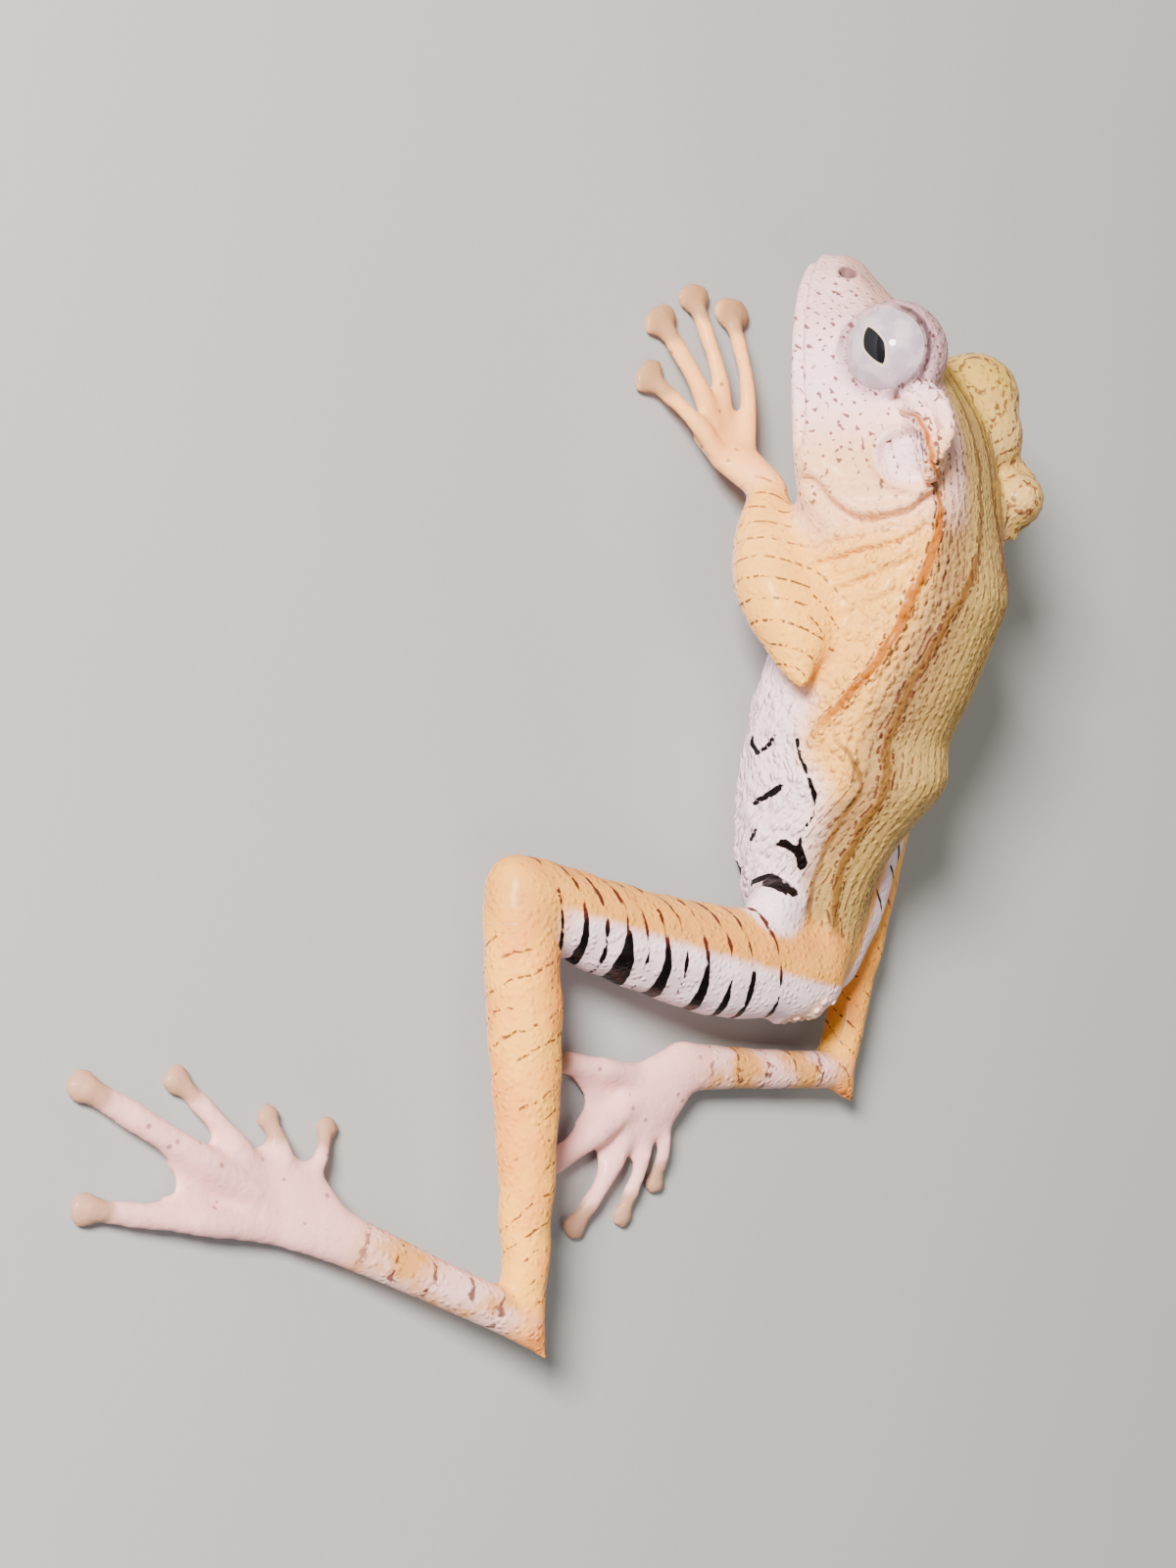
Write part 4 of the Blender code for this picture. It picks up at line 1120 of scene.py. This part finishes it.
def make_skin():
    clay = Clay()
    model_body(clay)
    model_limbs(clay)
    mesh = fuse(clay)
    verts = read_verts(mesh)
    joints = np.full(len(verts), np.inf)
    for hand in HANDS:
        for joint, reach in JOINT_REACH:
            joints = np.minimum(joints, gap_to(verts, joint[hand]) / reach)
    neck = hump(verts[:, 0] - NECK_PLACE[0], NECK_WIDTH) * (gap_to(verts, NECK_PLACE) < NECK_REACH)
    thin = np.min([away_from(verts, path)[0] for path in DIGITS], axis=0) < DIGIT_NEAR
    tip = np.min([gap_to(verts[:, :2], path[-1][:2]) for path in DIGITS], axis=0) < TIP_NEAR
    by_digit = np.where(tip, TIP_SMOOTHING, np.where(thin, DIGIT_SMOOTHING, BODY_SMOOTHING))
    by_joint = JOINT_SMOOTHING * np.clip(JOINT_RANGE - joints, 0, 1) * (~thin)
    relax(mesh, SMOOTH_TURNS, by_digit)
    relax(mesh, JOINT_TURNS, by_joint + NECK_SMOOTHING * neck)
    refine(mesh, fine_places(read_verts(mesh)))
    relax(mesh, LAST_TURNS, LAST_SMOOTHING)
    verts, normals = read_verts(mesh), read_normals(mesh)
    shares, _, _, along, around = limb_places(verts)
    height = shape_head(verts) * fade(shares["trunk"], 0.3, 0.8)
    height += shape_body(verts, shares, along, around)
    verts += normals * height[:, None]
    verts[:, 2] = np.maximum(verts[:, 2], LOWEST)
    write_verts(mesh, verts)
    open_eyes(mesh)
    paint_places(mesh)
    to_frame(mesh)
    return link("skin", mesh)


def fine_places(verts):
    """Where the skin needs finer faces: the mouth, the lids' edges, the nostrils and the ears."""
    local = to_head(verts)
    x, y, z = local.T
    fine = (np.abs(z - mouth_height(x)) < FINE_MOUTH) & (x < MOUTH_END + 1)
    for hand in HANDS:
        distance, tilt, turn = eye_angles(verts, hand)
        edge = np.abs(tilt - aperture(turn))
        fine |= (distance < EYE_RADIUS + FINE_LID[0]) & (edge < FINE_LID[1])
        right = np.stack([x, y * hand_sign(hand), z], axis=1)
        fine |= gap_to(right, NOSTRIL_PLACE) < FINE_NOSTRIL
        fine |= gap_to(right, EAR_PLACE) < FINE_EAR
    return fine


class Recipe:
    """A material's nodes, wired by short calls."""

    def __init__(self, name):
        self.material = bpy.data.materials.new(name)
        self.material.use_nodes = True
        self.tree = self.material.node_tree
        self.shader = self.tree.nodes["Principled BSDF"]
        self.colour = None

    def wire(self, value, socket):
        if isinstance(value, bpy.types.NodeSocket):
            self.tree.links.new(value, socket)
        elif value is not None:
            socket.default_value = value

    def place(self, name):
        node = self.tree.nodes.new("ShaderNodeAttribute")
        node.attribute_name = name
        return node.outputs["Fac"]

    def math(self, operation, a, b=None, c=None, clamp=False):
        node = self.tree.nodes.new("ShaderNodeMath")
        node.operation = operation
        node.use_clamp = clamp
        for value, socket in zip((a, b, c), node.inputs):
            self.wire(value, socket)
        return node.outputs[0]

    def times(self, *values):
        product = values[0]
        for value in values[1:]:
            product = self.math("MULTIPLY", product, value)
        return product

    def smooth(self, value, low, high):
        """Runs smoothly from 0 at low to 1 at high."""
        node = self.tree.nodes.new("ShaderNodeMapRange")
        node.interpolation_type = "SMOOTHSTEP"
        self.wire(value, node.inputs["Value"])
        rising = low < high
        node.inputs["From Min"].default_value = low if rising else high
        node.inputs["From Max"].default_value = high if rising else low
        node.inputs["To Min"].default_value = 0.0 if rising else 1.0
        node.inputs["To Max"].default_value = 1.0 if rising else 0.0
        return node.outputs["Result"]

    def mix(self, base, colour, share):
        node = self.tree.nodes.new("ShaderNodeMix")
        node.data_type = "RGBA"
        self.wire(share, node.inputs[0])
        self.wire(base, node.inputs[6])
        self.wire(colour, node.inputs[7])
        return node.outputs[2]

    def coordinates(self):
        node = self.tree.nodes.new("ShaderNodeTexCoord")
        return node.outputs["Object"]

    def noise(self, scale, detail=2.0, vector=None):
        node = self.tree.nodes.new("ShaderNodeTexNoise")
        self.wire(vector or self.coordinates(), node.inputs["Vector"])
        node.inputs["Scale"].default_value = scale
        node.inputs["Detail"].default_value = detail
        return node.outputs["Fac"]

    def cells(self, scale, vector=None):
        node = self.tree.nodes.new("ShaderNodeTexVoronoi")
        self.wire(vector or self.coordinates(), node.inputs["Vector"])
        node.inputs["Scale"].default_value = scale
        return node.outputs["Distance"]

    def away(self, value, middle=0.0):
        """How far a value is from a middle one."""
        return self.math("ABSOLUTE", self.math("SUBTRACT", value, middle) if middle else value)

    def line(self, value, period, half_width, wander):
        """1 on evenly spaced lines of a wandering value, 0 between them."""
        gap = self.math("PINGPONG", self.math("ADD", value, wander), period / 2)
        return self.smooth(gap, half_width, half_width * 0.4)

    def lay(self, colour, *shares):
        """Lays a colour over the ground, as strongly as the product of its shares."""
        self.colour = self.mix(self.colour, colour, self.times(*shares))

    def finish(self, roughness, bump, distance, shine):
        """Wires colour, roughness and relief, and sets the levels that are the same all over."""
        for name, level in shine.items():
            self.shader.inputs[name].default_value = level
        self.wire(self.colour, self.shader.inputs["Base Color"])
        self.wire(roughness, self.shader.inputs["Roughness"])
        node = self.tree.nodes.new("ShaderNodeBump")
        node.inputs["Strength"].default_value = 1.0
        node.inputs["Distance"].default_value = distance
        self.wire(bump, node.inputs["Height"])
        self.tree.links.new(node.outputs["Normal"], self.shader.inputs["Normal"])
        return self.material


def rgb(red, green, blue):
    return (red, green, blue, 1.0)


CREAM = rgb(0.86, 0.41, 0.085)
SAND = rgb(0.97, 0.44, 0.062)
TAN = rgb(0.47, 0.29, 0.085)
ROSE = rgb(0.31, 0.165, 0.062)
WHITE = rgb(0.86, 0.62, 0.68)
PINK = rgb(0.93, 0.60, 0.66)
LAVENDER = rgb(0.44, 0.25, 0.29)
SHELL = rgb(0.95, 0.48, 0.45)
PEACH = rgb(0.85, 0.25, 0.05)
# Yellow tan laid on the right side of the head and crest only: partly the back's own colour, partly
# painted shade of the side that lies away from the light.
SHADED_YELLOW = rgb(0.50, 0.31, 0.055)
ORANGE_INK = rgb(0.36, 0.095, 0.004)
BROWN_INK = rgb(0.14, 0.055, 0.007)
CHEEK = rgb(0.80, 0.48, 0.48)
SNOUT = rgb(0.50, 0.27, 0.20)
RIM = rgb(0.36, 0.20, 0.11)
DARK_INK = rgb(0.003, 0.0015, 0.0015)
RED_INK = rgb(0.085, 0.015, 0.010)
THIGH_TINT = rgb(0.62, 0.27, 0.055)
# The next three colours are painted shade: the dark line along the upper lid edge, the nostril
# hollows and the eye sockets.
RIM_SHADE = rgb(0.05, 0.025, 0.03)
NOSTRIL_SHADE = rgb(0.08, 0.04, 0.04)
SOCKET_SHADE = rgb(0.02, 0.015, 0.015)
SKIN_SHINE = {
    "Specular IOR Level": 0.06,
    "Subsurface Weight": 0.10,
    "Subsurface Radius": (1.0, 0.45, 0.3),
    "Subsurface Scale": 0.0012,
    "Coat Weight": 0.10,
    "Coat Roughness": 0.20,
}
SKIN_RELIEF = 0.00030
# Noise: scale and reach in millimetres of the short and the long wander of the lines, then the
# scales of fine dots, coarse dots and patches.
WANDER = (420, 1.4)
SLOW_WANDER = (130, 3.0)
FINE_DOTS = 1500
COARSE_DOTS = 950
PATCHES = 210
# Lines of dots: spacing and half width.
BACK_LINES = (1.3, 0.19)
SHANK_LINES = (2.6, 0.22)
ARM_LINES = (2.3, 0.20)
TARSUS_BANDS = (4.2, 0.40)
HEAD_ROWS = (1.5, 0.36)
# Noise levels between which a row of dots sets in.
DOT_LEVELS = (0.44, 0.54)


def skin_material():
    """Cream skin with stripes on the back, dotted lines, barred thighs and grainy flanks."""
    r = Recipe("frog_skin")
    along, around, place, turn = (r.place(n) for n in ("along", "around", "place", "turn"))
    trunk, head, lid, disc = (r.place(n) for n in ("trunk", "head", "lid", "disc"))
    thigh, shank, tarsus, foot = (r.place(n) for n in ("thigh", "shank", "tarsus", "foot"))
    arm = r.place("arm")
    side = r.math("ABSOLUTE", around)
    wander, slow_wander = (
        r.math("MULTIPLY_ADD", r.noise(scale), reach, -reach / 2)
        for scale, reach in (WANDER, SLOW_WANDER)
    )
    dots = r.smooth(r.noise(FINE_DOTS, 1.0), *DOT_LEVELS)
    coarse_dots = r.smooth(r.noise(COARSE_DOTS), *DOT_LEVELS)
    patches = r.smooth(r.noise(PATCHES, 3.0), 0.38, 0.62)

    def shifted(value, share):
        return r.math("ADD", value, r.math("MULTIPLY", wander, share))

    # Back, flanks and head.
    r.colour = TAN
    r.lay(ROSE, r.smooth(side, 4.0, 9.0))
    r.lay(CREAM, r.smooth(r.math("ADD", side, slow_wander), 10.0, 14.0))
    r.lay(WHITE, r.place("white"))
    r.lay(TAN, patches, trunk, r.smooth(side, 14.0, 8.0), 0.35)
    r.lay(PINK, head, r.smooth(side, 6.0, 11.0), 0.9)
    r.lay(CREAM, head, r.smooth(along, 16.0, 24.0), r.smooth(side, 8.0, 12.0), 0.65)
    r.lay(CHEEK, r.place("front"), 0.9)
    r.lay(SNOUT, r.place("snout"), 0.75)
    r.lay(LAVENDER, lid, r.smooth(side, 3.0, 7.0), 0.8)
    # Painted shade: the right side of the head and crest, away from the light, gets a darker yellow
    # tan. It is partly the back's own yellow tan and partly painted shade of that side.
    shaded_right_side = r.times(r.smooth(around, 3.0, 6.0), r.smooth(around, 19.0, 15.0))
    shaded_right_side = r.times(shaded_right_side, r.smooth(along, 8.0, 11.0))
    r.lay(SHADED_YELLOW, r.math("MAXIMUM", head, r.place("crest")), shaded_right_side, 0.85)
    r.lay(RED_INK, r.smooth(r.noise(1200), 0.56, 0.66), lid, 0.45)
    r.lay(WHITE, r.place("ear"), 0.8)

    # Limbs.
    leg = r.math("ADD", thigh, shank, clamp=True)
    rear_turn = shifted(turn, 0.12)
    rear = r.times(thigh, r.smooth(rear_turn, 0.15, 0.42), r.smooth(rear_turn, 2.9, 2.4))
    rear = r.times(rear, r.smooth(place, 38.5, 34.5), r.smooth(shank, 0.5, 0.3))
    r.lay(SAND, leg)
    r.lay(PEACH, leg, patches, 0.6)
    r.lay(THIGH_TINT, thigh, 0.6)
    r.lay(WHITE, r.math("MAXIMUM", rear, r.place("groin")))
    r.lay(SAND, arm, 0.95)
    r.lay(CREAM, arm, patches, 0.8)
    r.lay(PEACH, tarsus, 0.4)
    r.lay(PINK, tarsus, patches, 0.6)
    r.lay(SHELL, foot, 0.95)
    r.lay(LAVENDER, foot, patches, 0.15)
    r.lay(SAND, foot, r.place("hand"), 0.75)
    r.lay(PEACH, r.place("heel"), 0.8)
    r.lay(RIM, disc, 0.85)
    r.lay(CREAM, r.place("vent"), 0.5)
    r.lay(WHITE, r.place("underside"), 0.7)

    # Stripes along the back, each with a dotted dark edge on both sides.
    back = r.times(trunk, r.smooth(along, 3.0, 10.0), r.smooth(lid, 0.6, 0.1))
    striped = r.times(trunk, r.smooth(along, 17.5, 19.5), r.smooth(along, 55.0, 49.0))
    orange_gap = r.away(shifted(r.place("orange"), 0.55))
    orange_gap = r.math("MULTIPLY_ADD", r.smooth(along, 31.0, 26.0), 0.3, orange_gap)
    brown_gap = r.away(shifted(r.place("brown"), 0.7))
    for gap, ink, (outer, inner), edge, area, strength in (
        (orange_gap, ORANGE_INK, (0.80, 0.35), 0.78, striped, 0.95),
        (brown_gap, BROWN_INK, (0.75, 0.3), 0.75, back, 0.85),
    ):
        r.lay(ink, r.smooth(gap, outer, inner), area, strength)
        r.lay(RED_INK, r.smooth(r.away(gap, edge), 0.22, 0.10), dots, area, 0.85)
    low_gap = r.away(shifted(r.place("low_line"), 0.8))
    low = r.times(trunk, r.smooth(along, 51.0, 55.0), r.smooth(low_gap, 0.45, 0.15))
    r.lay(BROWN_INK, low, 0.75)

    # Lines of dots: along the back, slanting round the limbs, and in rows on the head.
    lanes = r.line(side, *BACK_LINES, r.math("MULTIPLY", wander, 0.45))
    r.lay(RED_INK, lanes, dots, r.times(back, r.smooth(side, 14.5, 11.5)), 0.75)
    bent = r.math("MULTIPLY", slow_wander, 0.6)
    gaps = r.smooth(r.noise(300, 1.0), 0.40, 0.50)
    slant = r.math("ADD", place, r.math("MULTIPLY", turn, 1.5))
    shank_lines = r.line(slant, *SHANK_LINES, r.math("ADD", bent, wander))
    r.lay(RED_INK, shank_lines, dots, shank, gaps, 0.85)
    slant = r.math("SUBTRACT", place, r.math("MULTIPLY", turn, 1.2))
    r.lay(RED_INK, r.line(slant, *ARM_LINES, bent), dots, arm, 0.9)
    bands = r.line(place, *TARSUS_BANDS, r.math("MULTIPLY", wander, 2.4))
    r.lay(RED_INK, bands, coarse_dots, tarsus, 0.85)
    r.lay(RED_INK, r.smooth(r.cells(480), 0.16, 0.10), foot, r.smooth(disc, 0.6, 0.2), 0.55)
    rows = r.times(r.smooth(r.noise(1250, 1.0), 0.56, 0.63), r.line(side, *HEAD_ROWS, wander))
    r.lay(RED_INK, rows, head, r.smooth(side, 5.0, 8.0), 0.85)
    r.lay(RED_INK, r.smooth(r.cells(640), 0.15, 0.10), head, 0.8)

    # Black bars and marks and the dark line of the brow, then painted shade: a dark line along the
    # upper edge of the lids, and darkness in the crease behind each eye, in the nostrils and in the
    # sockets.
    deep = r.math("MAXIMUM", r.smooth(turn, 0.2, 0.5), r.smooth(trunk, 0.05, 0.3))
    r.lay(r.mix(RED_INK, DARK_INK, deep), r.smooth(shifted(r.place("ink"), 0.65), 0.08, -0.04))
    # Painted shade along the upper lid edge.
    r.lay(RIM_SHADE, r.place("rim"), 0.85)
    r.lay(BROWN_INK, r.place("brow_line"), coarse_dots, 0.8)
    # Painted shade in the crease behind each eye, broken up by patches.
    r.lay(BROWN_INK, r.place("crease_shade"), patches, 0.75)
    # Painted shade in the hollow of each nostril.
    r.lay(NOSTRIL_SHADE, r.place("nostril"), 0.85)
    # Painted shade in the socket between eyeball and lid.
    r.lay(SOCKET_SHADE, r.place("socket"))

    # Relief: grains laid out along the unrolled body, finer grains elsewhere, and wrinkles.
    unrolled = r.tree.nodes.new("ShaderNodeCombineXYZ")
    r.wire(r.math("ADD", along, r.math("MULTIPLY", side, 0.35)), unrolled.inputs[0])
    r.wire(r.math("MULTIPLY", around, 1.25), unrolled.inputs[1])
    body_grains = r.times(r.smooth(r.cells(1.0, unrolled.outputs[0]), 0.65, 0.05), trunk)
    body_grains = r.times(body_grains, r.smooth(side, 5.0, 12.0), r.smooth(head, 0.9, 0.2))
    off_foot = r.math("SUBTRACT", 1.0, foot, clamp=True)
    grains = r.times(r.smooth(r.cells(1300), 0.55, 0.05), off_foot)
    relief = r.math("ADD", r.times(grains, 0.35), r.times(r.noise(900, 3.0), 0.45))
    relief = r.math("ADD", relief, r.times(body_grains, 1.05))
    roughness = r.math("MULTIPLY_ADD", r.noise(600), 0.25, 0.32)
    return r.finish(roughness, relief, SKIN_RELIEF, SKIN_SHINE)


# Grains: least spacing and size in metres, number to a square metre, flatness, and range of sizes.
GRAIN_SPACING = 0.00082
GRAIN_SIZE = 0.00042
GRAIN_DENSITY = 2.6e6
GRAIN_FLATNESS = 0.62
GRAIN_RANGE = (0.65, 1.15)


def grain_tree(material):
    """Geometry nodes that scatter low grains over the skin where its grain number is high."""
    tree = bpy.data.node_groups.new("skin_grains", "GeometryNodeTree")
    tree.is_modifier = True
    floats = [(name, "Float") for name in ("Spacing", "Density", "Size")]
    for name, kind in [("Geometry", "Geometry")] + floats + [("Seed", "Int")]:
        tree.interface.new_socket(name, in_out="INPUT", socket_type="NodeSocket" + kind)
    tree.interface.new_socket("Geometry", in_out="OUTPUT", socket_type="NodeSocketGeometry")

    def node(kind, inputs, **settings):
        """A node with its settings, and its inputs wired or set."""
        made = tree.nodes.new(kind)
        for name, value in settings.items():
            setattr(made, name, value)
        for name, value in inputs.items():
            if isinstance(value, bpy.types.NodeSocket):
                tree.links.new(value, made.inputs[name])
            else:
                made.inputs[name].default_value = value
        return made.outputs

    def number(name):
        return node("GeometryNodeInputNamedAttribute", {"Name": name}, data_type="FLOAT")[0]

    def times(a, b):
        return node("ShaderNodeMath", {0: a, 1: b}, operation="MULTIPLY")[0]

    wanted = node("NodeGroupInput", {})
    scatter = node("GeometryNodeDistributePointsOnFaces", {
        "Mesh": wanted["Geometry"], "Distance Min": wanted["Spacing"],
        "Density Max": wanted["Density"], "Density Factor": number("grain"),
        "Seed": wanted["Seed"],
    }, distribute_method="POISSON")
    vary = node("FunctionNodeRandomValue", {
        2: GRAIN_RANGE[0], 3: GRAIN_RANGE[1], "Seed": wanted["Seed"],
    }, data_type="FLOAT")
    size = times(times(number("grain_size"), vary[1]), wanted["Size"])
    shape = node("ShaderNodeCombineXYZ", {0: size, 1: size, 2: times(size, GRAIN_FLATNESS)})
    bead = node("GeometryNodeMeshUVSphere", {
        "Segments": GRAIN_SIDES, "Rings": GRAIN_RINGS, "Radius": 1.0,
    })
    grain = node("GeometryNodeSetShadeSmooth", {"Geometry": bead["Mesh"]})
    copies = node("GeometryNodeInstanceOnPoints", {
        "Points": scatter["Points"], "Instance": grain["Geometry"],
        "Rotation": scatter["Rotation"], "Scale": shape[0],
    })
    plain = node("GeometryNodeRealizeInstances", {"Geometry": copies["Instances"]})
    coated = node("GeometryNodeSetMaterial", {"Geometry": plain["Geometry"], "Material": material})
    node("NodeGroupOutput", {"Geometry": coated["Geometry"]})
    return tree


def make_grains(skin, material):
    """The small grains of the flank and round the vent."""
    tree = grain_tree(material)
    step = skin.modifiers.new("grains", "NODES")
    step.node_group = tree
    wanted = {
        "Spacing": GRAIN_SPACING, "Density": GRAIN_DENSITY, "Size": GRAIN_SIZE, "Seed": SKIN_SEED,
    }
    for item in tree.interface.items_tree:
        if item.in_out == "INPUT" and item.name in wanted:
            step[item.identifier] = wanted[item.name]
    graph = bpy.context.evaluated_depsgraph_get()
    mesh = bpy.data.meshes.new_from_object(skin.evaluated_get(graph))
    skin.modifiers.remove(step)
    lay_out_grains(mesh)
    return link("skin_grains", mesh)


def lay_out_grains(mesh):
    """Gives each grain a small patch of its own at its root's place on the unrolled skin."""
    loops = read_rows(mesh.loops, "vertex_index", np.int32, 1)[:, 0]
    verts = read_verts(mesh).reshape(-1, GRAIN_POINTS, 3)
    offset = ((verts - verts.mean(axis=1, keepdims=True)) * PATCH_SCALE).reshape(-1, 3)
    places = []
    for name, start, span, axis in (("along", 0.0, 90.0, 0), ("around", 0.5, 80.0, 2)):
        values = read_rows(mesh.attributes[name].data, "value", width=1)
        root = np.repeat(values.reshape(-1, GRAIN_POINTS).mean(axis=1), GRAIN_POINTS)
        places.append((np.clip(start + root / span, 0.01, 0.98) + offset[:, axis])[loops])
    layer = mesh.uv_layers.new(name="OFBake")
    layer.data.foreach_set("uv", np.stack(places, axis=1).astype(np.float32).ravel())


# The iris, and the pupil's place and slant, half length and half height, and how round it is.
SILVER = rgb(0.36, 0.285, 0.35)
PALE_SILVER = rgb(0.52, 0.42, 0.465)
IRIS_THREAD = rgb(0.42, 0.34, 0.38)
IRIS_RIM = rgb(0.46, 0.38, 0.42)
PUPIL_RING = rgb(0.60, 0.46, 0.34)
PUPIL_INK = rgb(0.004, 0.004, 0.006)
PUPIL_AHEAD = 0.2
PUPIL_SLANT = 0.2
PUPIL_HALF = (1.95, 1.05)
PUPIL_ROUNDNESS = 1.45
EYE_SHINE = {
    "Coat Weight": 1.0,
    "Coat Roughness": 0.02,
    "Coat IOR": 1.3,
    "Specular IOR Level": 0.08,
}
EYE_RELIEF = 0.00003


def eye_material():
    """Silvery lavender iris with a flat dark pupil in a thin pale ring, under a wet clear coat."""
    r = Recipe("frog_eye")
    r.colour = SILVER
    r.lay(PALE_SILVER, r.smooth(r.noise(500, 3.0), 0.35, 0.65))
    r.lay(IRIS_THREAD, r.smooth(r.noise(1400), 0.52, 0.64), 0.35)
    r.lay(IRIS_RIM, r.smooth(r.place("eye_tilt"), 0.95, 1.2), 0.4)
    across = r.math("SUBTRACT", r.place("eye_across"), PUPIL_AHEAD)
    up = r.math("MULTIPLY_ADD", across, PUPIL_SLANT, r.place("eye_up"))
    powers = [
        r.math("POWER", r.away(r.math("DIVIDE", value, half)), PUPIL_ROUNDNESS)
        for value, half in zip((across, up), PUPIL_HALF)
    ]
    ring = r.math("ADD", *powers)
    r.lay(PUPIL_RING, r.smooth(ring, 1.34, 1.18))
    r.lay(PUPIL_INK, r.smooth(ring, 1.08, 0.98))
    roughness = r.math("MULTIPLY_ADD", r.noise(700), 0.2, 0.22)
    return r.finish(roughness, r.noise(1100), EYE_RELIEF, EYE_SHINE)


def make_eye(hand, material):
    """An eyeball whose clear front bulges a little past the ball."""
    axis, across, up = eye_axes(hand)
    bm = bmesh.new()
    bmesh.ops.create_uvsphere(bm, u_segments=64, v_segments=48, radius=EYE_RADIUS)
    mesh = bpy.data.meshes.new("eye_" + hand)
    bm.to_mesh(mesh)
    bm.free()
    verts = read_verts(mesh)
    turn = np.stack([across, np.cross(axis, across), axis], axis=1)
    tilt = np.arccos(np.clip(verts[:, 2] / np.linalg.norm(verts, axis=1), -1, 1))
    verts = verts @ turn.T
    write_numbers(mesh, {"eye_across": verts @ across, "eye_up": verts @ up, "eye_tilt": tilt})
    verts *= (1 + EYE_BULGE * np.exp(-((tilt / EYE_BULGE_ANGLE) ** 4)))[:, None]
    write_verts(mesh, verts + EYE_CENTRE[hand])
    to_frame(mesh)
    mesh.materials.append(material)
    return link("eyeball_" + hand, mesh)


def make_camera():
    tilt = math.radians(CAMERA_ELEVATION)
    back = Vector((0, -math.cos(tilt), math.sin(tilt)))
    up = Vector((-1, 0, 0))
    right = up.cross(back)
    data = bpy.data.cameras.new("camera")
    data.lens = CAMERA_LENS
    data.sensor_width = 36.0
    data.clip_start = 0.01
    camera = put("camera", data)
    target = Vector((np.array(CAMERA_TARGET) + FRAME_SHIFT) * MM)
    spin = Matrix((right, up, back)).transposed().to_4x4()
    camera.matrix_world = Matrix.Translation(target + back * CAMERA_DISTANCE * MM) @ spin
    bpy.context.scene.camera = camera


# Lights: name, place, size, power and colour.
LIGHTS = (
    ("key", (-0.24, -0.56, 0.42), 0.20, 22.0, (1.0, 0.96, 0.90)),
    ("fill", (0.35, 0.0, 0.60), 0.50, 1.0, (1.0, 1.0, 1.0)),
    ("back", (-0.10, 0.60, 0.30), 0.40, 1.0, (1.0, 0.86, 0.55)),
)
SKY = rgb(0.86, 0.88, 0.90)
SKY_STRENGTH = 0.20
FLOOR_REACH = 4.0
FLOOR_TONES = (rgb(0.36, 0.36, 0.355), rgb(0.39, 0.39, 0.385))


def make_light(name, place, size, power, colour):
    data = bpy.data.lights.new(name, "AREA")
    data.shape = "DISK"
    data.size = size
    data.energy = power
    data.color = colour
    lamp = put(name, data)
    lamp.location = place
    lamp.rotation_euler = (-Vector(place)).to_track_quat("-Z", "Y").to_euler()


def make_studio():
    """A plain pale floor under soft light."""
    mesh = bpy.data.meshes.new("floor")
    reach = FLOOR_REACH
    corners = [(-reach, -reach, 0), (reach, -reach, 0), (reach, reach, 0), (-reach, reach, 0)]
    mesh.from_pydata(corners, [], [(0, 1, 2, 3)])
    floor = put("floor", mesh)
    r = Recipe("pale_floor")
    r.colour = r.mix(*FLOOR_TONES, r.noise(14, 3.0))
    mesh.materials.append(r.finish(0.8, r.noise(900), 0.00002, {}))
    for light in LIGHTS:
        make_light(*light)
    world = bpy.data.worlds.new("studio")
    world.use_nodes = True
    sky = world.node_tree.nodes["Background"].inputs
    sky["Color"].default_value = SKY
    sky["Strength"].default_value = SKY_STRENGTH
    bpy.context.scene.world = world


def flesh_nodes():
    return [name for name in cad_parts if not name.startswith("eye_")]


def main():
    make_camera()
    make_studio()
    skin = make_skin()
    coat = skin_material()
    skin.data.materials.append(coat)
    grains = make_grains(skin, coat)
    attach(skin, "root")
    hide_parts(*flesh_nodes())
    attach(grains, "root")
    wet = eye_material()
    for hand in HANDS:
        eye = make_eye(hand, wet)
        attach(eye, "root")
        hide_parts("eye_" + hand)


main()
